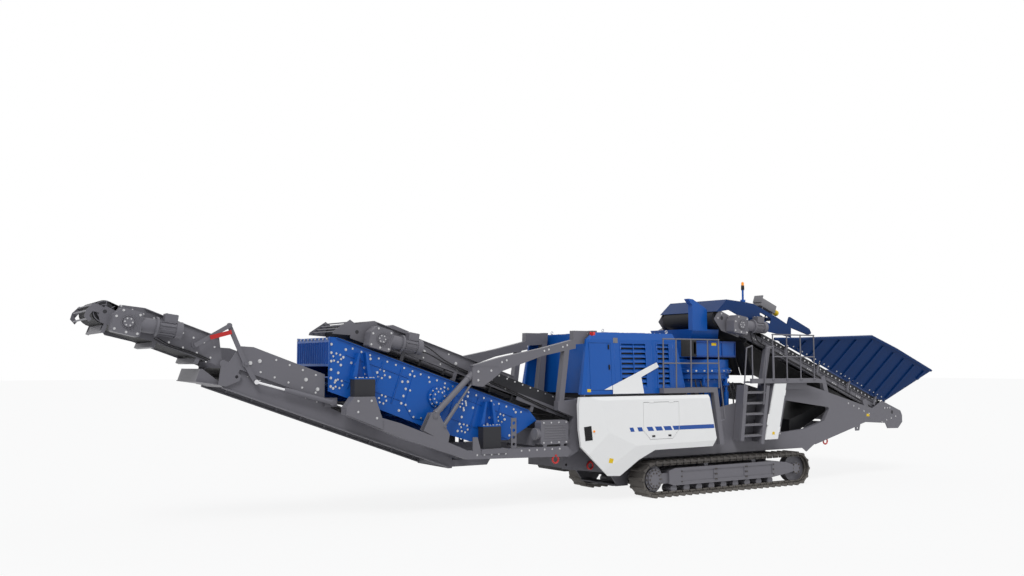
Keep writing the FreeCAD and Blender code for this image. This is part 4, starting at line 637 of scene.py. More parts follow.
@dataclass
class TrackDetails:
    """Link chain, slits between the shoes and hub bolts of one track."""

    side: int
    sprocket_x: float = -2.370
    idler_x: float = 2.390
    axle_z: float = 0.425
    shoes: int = 56
    band_r: float = 0.395
    band_depth: float = 0.045
    shoe_edge: float = 1.450
    chain_y: float = 1.372
    chain_r: float = 0.322
    chain_height: float = 0.055
    chain_wide: float = 0.024
    sprocket_rings: tuple[tuple[float, float, int], ...] = ((0.220, 1.370, 14), (0.150, 1.410, 10))
    idler_ring: tuple[float, float, int] = (0.125, 1.372, 8)
    recesses: tuple[Flat, ...] = ((-1.500, -0.500), (-0.380, 0.520), (0.640, 1.500))
    recess_z: Flat = (0.330, 0.570)

    @property
    def straight(self) -> float:
        """Return the distance between the two axles."""
        return self.idler_x - self.sprocket_x

    @property
    def pitch(self) -> float:
        """Return the length of one shoe along the loop."""
        return (2 * self.straight + 2 * math.pi * self.band_r) / self.shoes

    def at(self, d: float, r: float) -> tuple[float, float, float]:
        """Return the place and lean of a point of the loop.

        Args:
            d: Distance round the loop, from above the sprocket.
            r: Distance from the loop's middle line.

        Returns:
            Its x and z and the angle by which it leans, in radians.
        """
        half = math.pi * self.band_r
        d %= 2 * (self.straight + half)
        if d < self.straight:
            return self.sprocket_x + d, self.axle_z + r, 0.0
        if d < self.straight + half:
            a = (d - self.straight) / self.band_r
            return self.idler_x + r * math.sin(a), self.axle_z + r * math.cos(a), a
        if d < 2 * self.straight + half:
            return self.idler_x - (d - self.straight - half), self.axle_z - r, math.pi
        a = math.pi + (d - 2 * self.straight - half) / self.band_r
        return self.sprocket_x + r * math.sin(a), self.axle_z + r * math.cos(a), a

    def build(self) -> None:
        """Make the chain, the slits and the bolts."""
        word, way = side_name(self.side), self.side
        chain, slits = Shape(f"track_chain_{word}"), Shape(f"track_slits_{word}")
        for i in range(self.shoes):
            middle = (i + 0.70) * self.pitch
            x, z, lean = self.at(middle, self.chain_r)
            turn = Matrix.Rotation(lean, 3, "Y")
            chain.block(place(x, way * self.chain_y, z), (self.pitch * 0.86, self.chain_wide, self.chain_height), turn,
                        0.008)
            for off in (-0.3, 0.3):
                px, pz, _ = self.at(middle + off * self.pitch, self.chain_r)
                chain.rod(place(px, way * (self.chain_y - 0.02), pz), place(px, way * (self.chain_y + 0.024), pz),
                          0.018, 10)
            x, z, lean = self.at((i + 0.96) * self.pitch, self.band_r - self.band_depth / 2)
            slits.block(place(x, way * (self.shoe_edge - 0.010), z), (0.016, 0.024, self.band_depth + 0.006),
                        Matrix.Rotation(lean, 3, "Y"))
        chain.finish(TRACK_STEEL, Body.MACHINE, Slot.TRACK)
        slits.finish(BLACK, Body.MACHINE, Slot.TRACK)
        self._bolts(word, outwards(way))

    def _bolts(self, word: str, out: Vector) -> None:
        """Make the bolt rings of sprocket and idler and the bolts of the track frame."""
        bolts = Shape(f"track_bolts_{word}")
        for x0, rings in ((self.sprocket_x, self.sprocket_rings), (self.idler_x, (self.idler_ring,))):
            for radius, y, count in rings:
                for i in range(count):
                    a = 2 * math.pi * i / count
                    bolts.bolt(place(x0 + radius * math.cos(a), self.side * y, self.axle_z + radius * math.sin(a)),
                               out, 0.017, 0.016)
        z0, z1 = self.recess_z
        for x0, x1 in self.recesses:
            for x in (x0 - 0.035, x1 + 0.035):
                for z in (z0, (z0 + z1) / 2, z1):
                    bolts.bolt(place(x, self.side * 1.402, z), out, 0.014, 0.012)
        bolts.finish(TRACK_STEEL, Body.MACHINE, Slot.TRACK)


# Covers of the engine end


@dataclass
class CoverDetails:
    """Stripe, grille, marker lamp and seals of one white cover."""

    side: int
    half: float = 1.500
    folds: tuple[tuple[Flat, Flat, float], ...] = (((-3.760, 1.550), (-4.010, 2.300), 9.0),
                                                   ((-2.970, 1.230), (-3.760, 1.550), 9.0),
                                                   ((-0.500, 1.260), (-2.970, 1.230), 14.0))
    stripe_z: Flat = (1.550, 1.645)
    # Each dash as its lower left corner, its upper left corner and its width
    dashes: tuple[tuple[float, float, float], ...] = ((-3.150, -3.190, 0.110), (-2.920, -2.965, 0.135),
                                                      (-2.630, -2.690, 0.170), (-2.385, -2.440, 0.195),
                                                      (-2.125, -2.185, 0.220))
    band_start: Flat = (-1.850, -1.905)
    band_end: Flat = (-0.572, -0.592)
    flap_edge: Flat = (-2.770, -1.700)
    flap_outline: tuple[Flat, ...] = ((-2.770, 2.200), (-1.700, 2.200), (-1.700, 1.560), (-1.900, 1.360),
                                      (-2.570, 1.360), (-2.770, 1.560))
    grille: tuple[Flat, ...] = ((-4.405, 1.690), (-4.225, 1.715), (-4.180, 1.400), (-4.360, 1.385))

    def skin(self, x: float, z: float, proud: float = PROUD) -> Vector:
        """Return the place on the cover's outer face at x and z.

        Args:
            x: Along the machine.
            z: Height above the ground.
            proud: How far it stands out of the face.

        Returns:
            The place in the frame.
        """
        back = 0.0
        for (x0, z0), (x1, z1), angle in self.folds:
            dx, dz = x1 - x0, z1 - z0
            away = (dx * (z - z0) - dz * (x - x0)) / math.hypot(dx, dz)
            back = max(back, away * math.tan(math.radians(angle)))
        return place(x, self.side * (self.half - back + proud), z)

    def _patch(self, shape: Shape, corners: Sequence[Flat], depth: float = 0.003, proud: float = PROUD) -> None:
        """Lay a thin plate with these corners on the cover's face."""
        shape.sheet([self.skin(x, z, proud - depth) for x, z in corners], outwards(self.side) * depth)

    def build(self) -> None:
        """Make the stripe, the grille, the marker, the label and the flap's seal."""
        word = side_name(self.side)
        z0, z1 = self.stripe_z
        on_cover, on_flap = Shape(f"cover_stripe_{word}"), Shape("flap_stripe")
        for low, high, width in self.dashes:
            corners = ((low, z0), (low + width, z0), (high + width, z1), (high, z1))
            whole = self.side == FAR or low + width < self.flap_edge[0] + 0.02
            self._patch(on_cover if whole else on_flap, corners)
        split = self.flap_edge[1]
        (b0, b1), (e0, e1) = self.band_start, self.band_end
        if self.side == NEAR:
            self._patch(on_flap, ((b0, z0), (split - 0.004, z0), (split - 0.004, z1), (b1, z1)))
            self._patch(on_cover, ((split + 0.010, z0), (e0, z0), (e1, z1), (split + 0.010, z1)))
            on_flap.finish(STRIPE, Body.HATCH, Slot.BLUE)
            self._seal()
        else:
            self._patch(on_cover, ((b0, z0), (e0, z0), (e1, z1), (b1, z1)))
        on_cover.finish(STRIPE, Body.MACHINE, Slot.BLUE)
        self._grille(word)
        marker = Shape(f"cover_marker_{word}")
        marker.ball(self.skin(-4.150, 1.590, 0.004), 0.026)
        marker.finish(AMBER, Body.MACHINE, Slot.LENS)
        label = Shape(f"cover_label_{word}")
        self._patch(label, ((-3.720, 0.880), (-3.610, 0.860), (-3.590, 0.960), (-3.700, 0.985)))
        label.finish(YELLOW, Body.MACHINE, Slot.WHITE)

    def _seal(self) -> None:
        """Make the black seal that shows in the gap round the flap."""
        seal = Shape("flap_seal")
        outline = self.flap_outline
        for (x0, z0), (x1, z1) in zip(outline, outline[1:] + outline[:1]):
            seal.rod(place(x0 * 1.0015, -self.half + 0.014, z0), place(x1 * 1.0015, -self.half + 0.014, z1), 0.005, 8)
        seal.finish(RUBBER, Body.MACHINE, Slot.RUBBER)
        latch = Shape("flap_latches")
        for x in (-2.480, -1.990):
            latch.block(place(x, -self.half - 0.006, 1.430), (0.085, 0.014, 0.040), bevel=0.004)
        latch.finish(BLACK, Body.HATCH, Slot.RUBBER)

    def _grille(self, word: str) -> None:
        """Make the small black grille at the cover's end, with its ridges."""
        plate = Shape(f"cover_grille_{word}")
        self._patch(plate, self.grille, 0.008, 0.006)
        (ax, az), (bx, bz), (cx, cz), (dx, dz) = self.grille
        for i in range(1, 8):
            t = i / 8
            left = self.skin(ax + (dx - ax) * t, az + (dz - az) * t, 0.008)
            right = self.skin(bx + (cx - bx) * t, bz + (cz - bz) * t, 0.008)
            plate.rod(left.lerp(right, 0.1), left.lerp(right, 0.9), 0.006, 6)
        plate.finish(BLACK, Body.MACHINE, Slot.RUBBER)


# Hood


@dataclass
class HoodDetails:
    """Louvre frames, white fin, latches and lamp of one side of the hood."""

    side: int
    low: Flat = (2.400, 1.300)
    high: Flat = (3.640, 1.230)
    louvres: tuple[Flat, ...] = ((-3.230, -2.470), (-2.140, -1.760))
    louvre_z: Flat = (2.520, 3.560)
    door_edge: float = -3.514
    # The fin's corners from its low left corner round to the tip and the step behind it
    fin: tuple[Flat, ...] = ((-3.810, 2.405), (-2.600, 2.405), (-2.660, 2.780), (-2.110, 3.015), (-2.180, 3.120),
                             (-3.780, 2.490))
    fin_stand: float = 0.018

    def wall(self, x: float, z: float, proud: float) -> Vector:
        """Return the place on the leaning wall at x and z, standing proud of it."""
        (z0, y0), (z1, y1) = self.low, self.high
        return place(x, self.side * (y0 + (y1 - y0) * (z - z0) / (z1 - z0) + proud), z)

    def _bar(self, shape: Shape, start: Flat, end: Flat, wide: float = 0.028, thick: float = 0.016) -> None:
        """Lay a flat frame bar on the wall between two places."""
        (x0, z0), (x1, z1) = start, end
        run = Vector((x1 - x0, 0, z1 - z0)).normalized()
        across = Vector((-run.z, 0, run.x)) * wide / 2
        corners = [(x0 - across.x, z0 - across.z), (x1 - across.x, z1 - across.z), (x1 + across.x, z1 + across.z),
                   (x0 + across.x, z0 + across.z)]
        shape.sheet([self.wall(x, z, -0.003) for x, z in corners], outwards(self.side) * thick, 0.003)

    def build(self) -> None:
        """Make the frames, the fin, the latches, the lamp and the blank plates."""
        word = side_name(self.side)
        frames = Shape(f"louvre_frames_{word}")
        z0, z1 = self.louvre_z
        for x0, x1 in self.louvres:
            for z in (z0, z1):
                self._bar(frames, (x0 - 0.02, z), (x1 + 0.02, z))
            for x in (x0, (x0 + x1) / 2, x1):
                self._bar(frames, (x, z0), (x, z1), 0.022 if x0 < x < x1 else 0.030)
        for x in (-3.400, -2.300, -1.640):
            self._bar(frames, (x, 2.46), (x, 3.60), 0.020, 0.008)
        frames.finish(BLUE, Body.MACHINE, Slot.BLUE)
        self._painted_shade(word)
        self._fin(word)
        if self.side == NEAR:
            self._near_fittings()

    def _painted_shade(self, word: str) -> None:
        """Make black sheets of painted shade behind the louvres and a black strip of painted shadow in the seam under
        the hood.
        """
        dark = Shape(f"louvre_painted_shade_{word}")
        z0, z1 = self.louvre_z
        # Black sheets behind the louvre openings are painted shade inside the hood
        for x0, x1 in self.louvres:
            dark.sheet([self.wall(x, z, -0.075) for x, z in ((x0, z0), (x1, z0), (x1, z1), (x0, z1))],
                       outwards(self.side) * 0.004)
        # Black strip in the seam under the hood is a painted shadow of the gap
        dark.block(place(-2.780, self.side * 1.2905, 2.376), (3.00, 0.006, 0.040))
        dark.finish(BLACK, Body.MACHINE, Slot.RUBBER)

    def _fin(self, word: str) -> None:
        """Make the white fin that runs up the hood, cut at the door's edge."""
        depth = outwards(self.side) * 0.005
        low_left, low_right, notch, tip_low, tip, left = self.fin
        edge = self.door_edge + 0.006
        rise = (tip[1] - left[1]) / (tip[0] - left[0])
        cut = (edge, left[1] + (edge - left[0]) * rise)
        fixed = Shape(f"hood_fin_{word}")
        corners = [(edge, low_left[1]), low_right, notch, tip_low, tip, cut]
        fixed.sheet([self.wall(x, z, self.fin_stand) for x, z in corners], depth)
        for x, z in ((-3.40, 2.44), (-2.70, 2.44), (-3.00, 2.70), (-2.30, 3.02)):
            fixed.rod(self.wall(x, z, -0.004), self.wall(x, z, self.fin_stand + 0.007), 0.013, 10)
        fixed.finish(WHITE, Body.MACHINE, Slot.WHITE)
        loose = Shape(f"door_fin_{word}")
        edge -= 0.014
        cut = (edge, left[1] + (edge - left[0]) * rise)
        foot = 2.502 if self.side == NEAR else low_left[1]
        corners = [(-3.74, foot), (edge, foot), cut] if self.side == NEAR else [low_left, (edge, foot), cut, left]
        loose.sheet([self.wall(x, z, -0.002) for x, z in corners], outwards(self.side) * (self.fin_stand + 0.006))
        loose.finish(WHITE, Body.HOOD_DOOR if self.side == NEAR else Body.MACHINE, Slot.WHITE)

    def _near_fittings(self) -> None:
        """Make the fittings that only the near side has."""
        latches = Shape("hood_latches")
        for z in (3.470, 3.010):
            latches.block(self.wall(-3.575, z, 0.006), (0.040, 0.020, 0.110), bevel=0.005)
            latches.block(self.wall(-3.575, z - 0.010, 0.020), (0.020, 0.014, 0.080), bevel=0.004)
        latches.finish(BLACK, Body.HOOD_DOOR, Slot.RUBBER)
        base = Shape("tail_lamp_base")
        base.block(place(-3.955, -1.150, 3.755), (0.100, 0.090, 0.120), bevel=0.010)
        base.finish(BLACK, Body.MACHINE, Slot.RUBBER)
        lamp = Shape("tail_lamp")
        lamp.block(place(-4.003, -1.150, 3.760), (0.020, 0.070, 0.095), bevel=0.008)
        lamp.block(place(-3.955, -1.197, 3.760), (0.075, 0.020, 0.095), bevel=0.008)
        lamp.finish(RED_LENS, Body.MACHINE, Slot.LENS)
        plate = Shape("hood_blank_plate")
        plate.sheet([self.wall(x, z, -0.001) for x, z in ((-3.43, 3.56), (-3.30, 3.56), (-3.30, 3.68), (-3.43, 3.68))],
                    OUT_NEAR * 0.006, 0.002)
        plate.finish(LIGHT_GREY, Body.MACHINE, Slot.GREY)
        label = Shape("hood_label")
        label.sheet([self.wall(x, z, -0.001) for x, z in ((-4.22, 2.455), (-4.12, 2.455), (-4.12, 2.520),
                                                          (-4.22, 2.520))], OUT_NEAR * 0.004)
        label.finish(YELLOW, Body.MACHINE, Slot.WHITE)


@dataclass
class HoodRoof:
    """Bolted roof panels, cross strips and lifting eyes on top of the hood."""

    top: float = 3.800
    panels: tuple[tuple[float, float, float, float], ...] = ((-3.480, -2.700, -0.950, 0.950),
                                                            (-2.640, -1.700, -0.950, 0.950))
    eyes: tuple[Flat, ...] = ((-3.560, 1.020), (-3.560, -1.020), (-1.640, 1.020), (-1.640, -1.020))

    def build(self) -> None:
        """Make the panels, their bolts and the eyes."""
        roof, bolts = Shape("hood_roof_panels"), Shape("hood_roof_bolts")
        for x0, x1, y0, y1 in self.panels:
            roof.block(place((x0 + x1) / 2, (y0 + y1) / 2, self.top + 0.003), (x1 - x0, y1 - y0, 0.014), bevel=0.004)
            for y in (y0 + 0.04, y1 - 0.04):
                bolts.bolts(place(x0 + 0.04, y, self.top + 0.009), place(x1 - 0.04, y, self.top + 0.009), 6, UP, 0.012,
                            0.010)
        for x in (-3.250, -3.000, -2.400, -2.150):
            roof.block(place(x, 0, self.top + 0.016), (0.16, 1.5, 0.016), bevel=0.006)
        roof.finish(BLUE, Body.MACHINE, Slot.BLUE)
        bolts.finish(ZINC, Body.MACHINE, Slot.CHROME)
        eyes = Shape("hood_lifting_eyes")
        for x, y in self.eyes:
            eyes.rod(place(x, y, self.top - 0.004), place(x, y, self.top + 0.020), 0.026, 12)
            eyes.ring(place(x, y, self.top + 0.050), OUT_NEAR, 0.030, 0.008, 16)
        eyes.finish(ZINC, Body.MACHINE, Slot.CHROME)


# Feed end


@dataclass
class BeaconMast:
    """The flashing light on its blue mast, which stands in for the CAD beacon."""

    x: float = 0.970
    y: float = -1.000
    foot_z: float = 4.660
    socket_z: float = 4.985
    lens_z: float = 5.085
    top_z: float = 5.180

    def build(self) -> None:
        """Make the mast, the socket and the lens."""
        mast = Shape("beacon_mast")
        mast.rod(place(self.x, self.y, self.foot_z), place(self.x, self.y, self.socket_z), 0.026, 16)
        mast.block(place(self.x, self.y, self.foot_z + 0.030), (0.100, 0.090, 0.060), bevel=0.006)
        mast.rod(place(self.x, self.y, self.socket_z - 0.030), place(self.x, self.y, self.socket_z - 0.012), 0.034, 16)
        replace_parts(mast.finish(BLUE, Body.MACHINE, Slot.BLUE), "beacon")
        socket = Shape("beacon_socket")
        socket.rod(place(self.x, self.y, self.socket_z - 0.012), place(self.x, self.y, self.lens_z), 0.044, 20, 0.040,
                   0.006)
        socket.finish(BLACK, Body.MACHINE, Slot.RUBBER)
        lens = Shape("beacon_lens")
        lens.rod(place(self.x, self.y, self.lens_z), place(self.x, self.y, self.top_z - 0.040), 0.036, 20)
        lens.ball(place(self.x, self.y, self.top_z - 0.040), 0.036)
        lens.finish(AMBER, Body.MACHINE, Slot.LENS)


@dataclass
class FeederDetails:
    """Bolt strips, curtain, detector box, hoses and labels of the feed conveyor."""

    half: float = 1.050
    strip_y: float = 1.052
    box_centre: Flat = (1.990, 4.600)
    box_y: float = -0.780
    curtain: tuple[Flat, Flat] = ((1.060, 3.640), (1.400, 2.790))

    def build(self) -> None:
        """Make every piece of the feed conveyor."""
        self._strips()
        self._detector()
        self._curtain()
        self._lines()
        self._labels()

    def _strips(self) -> None:
        """Make the bolts that hold the rubber strips and the flange along the frame."""
        bolts, flange = Shape("feeder_strip_bolts"), Shape("feeder_flanges")
        for way in (NEAR, FAR):
            y = way * self.strip_y
            bolts.bolts(FEED.at(1.55, 0.095, y), FEED.at(6.25, 0.095, y), 30, outwards(way), 0.018, 0.014)
            for h in (0.026, -0.162):
                flange.block(FEED.at(3.27, h, way * (self.half + 0.018)), (6.00, 0.036, 0.014), FEED.turn(), 0.003)
            for s in (1.20, 2.30, 3.40, 4.45, 5.50):
                flange.block(FEED.at(s, -0.068, way * (self.half + 0.004)), (0.20, 0.010, 0.110), FEED.turn(), 0.003)
                bolts.bolts(FEED.at(s - 0.07, -0.068, way * (self.half + 0.009)),
                            FEED.at(s + 0.07, -0.068, way * (self.half + 0.009)), 3, outwards(way), 0.014, 0.010)
            for s, h in ((-0.05, 0.10), (0.20, 0.12), (-0.12, -0.05), (0.62, -0.02), (0.62, -0.18), (0.30, -0.24)):
                bolts.bolt(FEED.at(s, h, way * (self.half + 0.001)), outwards(way), 0.018, 0.014)
        bolts.finish(ZINC, Body.MACHINE, Slot.CHROME)
        flange.finish(GREY, Body.MACHINE, Slot.GREY)

    def _detector(self) -> None:
        """Make the grey control box with its yellow motor on two rails over the head."""
        x, z = self.box_centre
        lean = Matrix.Rotation(math.radians(21.5), 3, "Y")
        case = Shape("detector_box")
        case.block(place(x, self.box_y, z), (0.560, 0.300, 0.220), lean, 0.020)
        case.block(place(x - 0.240, self.box_y, z + 0.175), (0.030, 0.300, 0.200), lean, 0.008)
        for way in (-1, 1):
            rail_y = self.box_y + way * 0.110
            case.rod(place(1.300, rail_y, 4.596), place(2.130, rail_y, 4.272), 0.022, 10)
            for off in (-0.180, 0.180):
                case.rod(place(x + off, self.box_y + way * 0.110, z - off * 0.394 - 0.060),
                         place(x + off - 0.075, self.box_y + way * 0.110, z - off * 0.394 - 0.270), 0.018, 8)
        case.finish(LIGHT_GREY, Body.MACHINE, Slot.GREY)
        motor = Shape("detector_motor")
        start = place(x + 0.250, self.box_y, z - 0.110)
        motor.rod(start, start + Vector((0.200, 0, -0.080)), 0.075, 18, ease=0.012)
        motor.finish(YELLOW, Body.MACHINE, Slot.WHITE)

    def _curtain(self) -> None:
        """Make the black rubber curtain that hangs below the feeder's head."""
        (x0, z0), (x1, z1) = self.curtain
        curtain = Shape("feeder_curtain")
        strips = 8
        width = 1.80 / strips
        for i in range(strips):
            y0 = -0.90 + i * width
            sag = 0.015 * (i % 2)
            curtain.sheet([place(x0 + sag, y0 + 0.004, z0), place(x0 + sag, y0 + width - 0.004, z0),
                           place(x1 + sag, y0 + width - 0.004, z1), place(x1 + sag, y0 + 0.004, z1)],
                          Vector((0.014, 0, 0)), 0.002)
        curtain.block(place(x0, 0, z0 + 0.02), (0.070, 1.92, 0.080), bevel=0.006)
        for y in (-0.93, 0.93):
            curtain.block(place(x0 - 0.03, y, z0 + 0.10), (0.050, 0.200, 0.220), bevel=0.006)
        curtain.finish(RUBBER, Body.MACHINE, Slot.RUBBER)

    def _lines(self) -> None:
        """Make the motor's cable and the hydraulic lines down the frame."""
        runs = [[place(1.10, -1.22, 4.02), place(1.22, -1.16, 3.84), place(1.36, -1.09, 3.66),
                 FEED.at(1.6, -0.10, -1.078), FEED.at(3.0, -0.11, -1.078), FEED.at(5.2, -0.11, -1.078), FEED.at(6.1, -0.14, -1.078)],
                [place(0.92, -1.30, 3.86), place(1.05, -1.20, 3.66), place(1.30, -1.10, 3.58),
                 FEED.at(1.7, -0.14, -1.078), FEED.at(3.2, -0.14, -1.078), FEED.at(4.1, -0.15, -1.078)]]
        hose("feeder_hoses", runs, 0.014, RUBBER, Body.MACHINE)

    def _labels(self) -> None:
        """Make the small yellow labels, left blank."""
        labels = Shape("yellow_labels")
        for x, y, z, wide, high in ((0.000, -0.934, 3.580, 0.160, 0.080),
                                    (1.480, -1.474, 1.350, 0.080, 0.070), (5.560, -1.152, 1.680, 0.120, 0.070)):
            labels.block(place(x, y, z), (wide, 0.004, high), bevel=0.001)
        labels.finish(YELLOW, Body.MACHINE, Slot.WHITE)


@dataclass
class CrusherDetails:
    """Bolt rings, the chute's ribs and the dark parts round the crusher."""

    x: float = 0.040
    flange_z: float = 2.690
    flange_r: float = 0.880
    bowl_z: float = 2.915
    bowl_r: float = 1.041
    collar_x: Flat = (-0.660, 0.740)
    collar_y: float = 0.930
    collar_z: Flat = (3.250, 3.650)

    def build(self) -> None:
        """Make the bolts, the collar's ribs, the hoses and the black panel."""
        bolts = Shape("crusher_bolts")
        for i in range(32):
            a = 2 * math.pi * i / 32
            out = Vector((math.cos(a), math.sin(a), 0))
            bolts.bolt(place(self.x, 0, self.flange_z) + out * self.flange_r, UP, 0.022, 0.030)
            bolts.bolt(place(self.x, 0, self.bowl_z) + out * self.bowl_r, out, 0.018, 0.014)
        bolts.finish(ZINC, Body.MACHINE, Slot.CHROME)
        ribs = Shape("chute_ribs")
        x0, x1 = self.collar_x
        z0, z1 = self.collar_z
        for way in (NEAR, FAR):
            y = way * (self.collar_y + 0.010)
            for z in (z0 + 0.020, z1 - 0.020):
                ribs.block(place((x0 + x1) / 2, y, z), (x1 - x0, 0.026, 0.040), bevel=0.004)
            for x in (x0 + 0.02, x0 + 0.47, x0 + 0.93, x1 - 0.02):
                ribs.block(place(x, y, (z0 + z1) / 2), (0.026, 0.026, z1 - z0), bevel=0.004)
        ribs.finish(DEEP_BLUE, Body.MACHINE, Slot.BLUE)
        panel = Shape("crusher_black_panel")
        panel.block(place(-0.860, -0.955, 3.475), (0.500, 0.020, 0.430), bevel=0.006)
        panel.block(place(-0.670, -0.945, 3.475), (0.080, 0.040, 0.300), bevel=0.006)
        panel.finish(BLACK, Body.MACHINE, Slot.RUBBER)
        runs = []
        for k, start in enumerate((-0.62, -0.44, 0.52, 0.66)):
            runs.append([place(start, -0.90, 2.68 - 0.02 * k), place(start - 0.03, -1.00, 2.45),
                         place(start + 0.05, -1.03, 2.15), place(start + 0.02, -0.98, 1.85),
                         place(start, -0.90, 1.62)])
        hose("crusher_hoses", runs, 0.018, RUBBER, Body.MACHINE)


@dataclass
class HopperDetails:
    """Bolts along the low edges of the hopper's folding walls."""

    hinge_h: float = 0.190
    half: float = 1.100

    def build(self) -> None:
        """Make the bolt rows."""
        for way, body in ((NEAR, Body.HOPPER_NEAR), (FAR, Body.HOPPER_FAR)):
            word = side_name(way)
            out = outwards(way) * math.cos(math.radians(33)) + FEED.up * -math.sin(math.radians(33))
            slope = outwards(way) * math.sin(math.radians(33)) + FEED.up * math.cos(math.radians(33))
            bolts = Shape(f"hopper_bolts_{word}")
            for i in range(22):
                s = 2.55 + i * 0.18
                base = FEED.at(s, self.hinge_h, way * self.half) + slope * 0.075
                bolts.bolt(base + out * 0.001, out, 0.015, 0.014)
            bolts.finish(ZINC, body, Slot.CHROME)


@dataclass
class StepsAndRails:
    """Treads' grip plates, kick plates and chequered decks of both platforms."""

    stringer_low: Flat = (0.390, 1.200)
    stringer_high: Flat = (0.560, 2.560)
    right_low: Flat = (1.090, 1.100)
    right_high: Flat = (1.330, 2.540)

    def build(self) -> None:
        """Make the grips, the decks' patterns and the posts' feet."""
        grips = Shape("ladder_grips")
        for i in range(5):
            z = 1.290 + i * 0.265
            x0 = self._at(self.stringer_low, self.stringer_high, z) + 0.05
            x1 = self._at(self.right_low, self.right_high, z) - 0.05
            grips.block(place((x0 + x1) / 2, -1.315, z + 0.044), (x1 - x0, 0.250, 0.012), bevel=0.003)
            for k in range(9):
                x = x0 + (k + 0.5) * (x1 - x0) / 9
                grips.block(place(x, -1.315, z + 0.053), (0.018, 0.230, 0.010), bevel=0.002)
            grips.block(place((x0 + x1) / 2, -1.438, z + 0.030), (x1 - x0, 0.012, 0.050), bevel=0.003)
        grips.finish(GRIP, Body.MACHINE, Slot.GREY)
        deck = Shape("platform_grips")
        for x0, x1, y0, y1, z in ((0.800, 3.060, -1.410, -1.200, 2.652), (-1.180, -0.450, -1.290, -1.030, 2.522)):
            steps = int((x1 - x0) / 0.075)
            for k in range(steps):
                for j in range(3):
                    turn = Matrix.Rotation(math.radians(45 if (k + j) % 2 else -45), 3, "Z")
                    deck.block(place(x0 + (k + 0.5) * (x1 - x0) / steps, y0 + (j + 0.5) * (y1 - y0) / 3, z),
                               (0.060, 0.010, 0.006), turn)
        deck.finish(GRIP, Body.MACHINE, Slot.GREY)
        feet = Shape("rail_post_feet")
        for x in (1.520, 2.030, 2.540, 3.050):
            feet.block(place(x, -1.468, 2.690), (0.090, 0.030, 0.070), bevel=0.004)
            feet.bolts(place(x - 0.028, -1.484, 2.690), place(x + 0.028, -1.484, 2.690), 2, OUT_NEAR, 0.009, 0.008)
        feet.finish(GREY, Body.MACHINE, Slot.GREY)

    @staticmethod
    def _at(low: Flat, high: Flat, z: float) -> float:
        """Return the x of a leaning stringer at height z."""
        return low[0] + (high[0] - low[0]) * (z - low[1]) / (high[1] - low[1])


@dataclass
class ChassisDetails:
    """Bolts, towing rings and dark drip tray of the chassis."""

    half: float = 1.150
    hook_places: tuple[Point, ...] = ((3.830, -1.110, 1.035), (-3.720, -0.720, 0.760), (-5.000, -1.160, 1.000))

    def build(self) -> None:
        """Make every piece of the chassis."""
        bolts = Shape("chassis_bolts")
        for way in (NEAR, FAR):
            y = way * (self.half + 0.001)
            for x0, z0, x1, z1, count in ((4.75, 2.02, 5.60, 1.72, 5), (6.15, 1.47, 6.75, 1.62, 4),
                                          (2.05, 1.30, 2.05, 2.05, 4), (6.28, 1.86, 6.50, 1.86, 3)):
                bolts.bolts(place(x0, y, z0), place(x1, y, z1), count, outwards(way), 0.018, 0.014)
        bolts.finish(ZINC, Body.MACHINE, Slot.CHROME)
        rings = Shape("towing_rings")
        for x, y, z in self.hook_places:
            rings.ring(place(x, y, z), OUT_NEAR, 0.078, 0.020, 24)
            rings.rod(place(x, y - 0.030, z + 0.085), place(x, y + 0.030, z + 0.085), 0.026, 12)
        rings.finish(RED, Body.MACHINE, Slot.RED)
        tray = Shape("drip_tray")
        tray.sheet([place(2.95, -0.68, 1.24), place(3.31, -0.68, 1.32), place(4.50, -0.68, 1.84),
                    place(4.60, -0.68, 2.10), place(2.95, -0.68, 1.62)], Vector((0, 1.36, 0)), 0.006)
        tray.finish(BLACK, Body.MACHINE, Slot.RUBBER)


# Screening unit


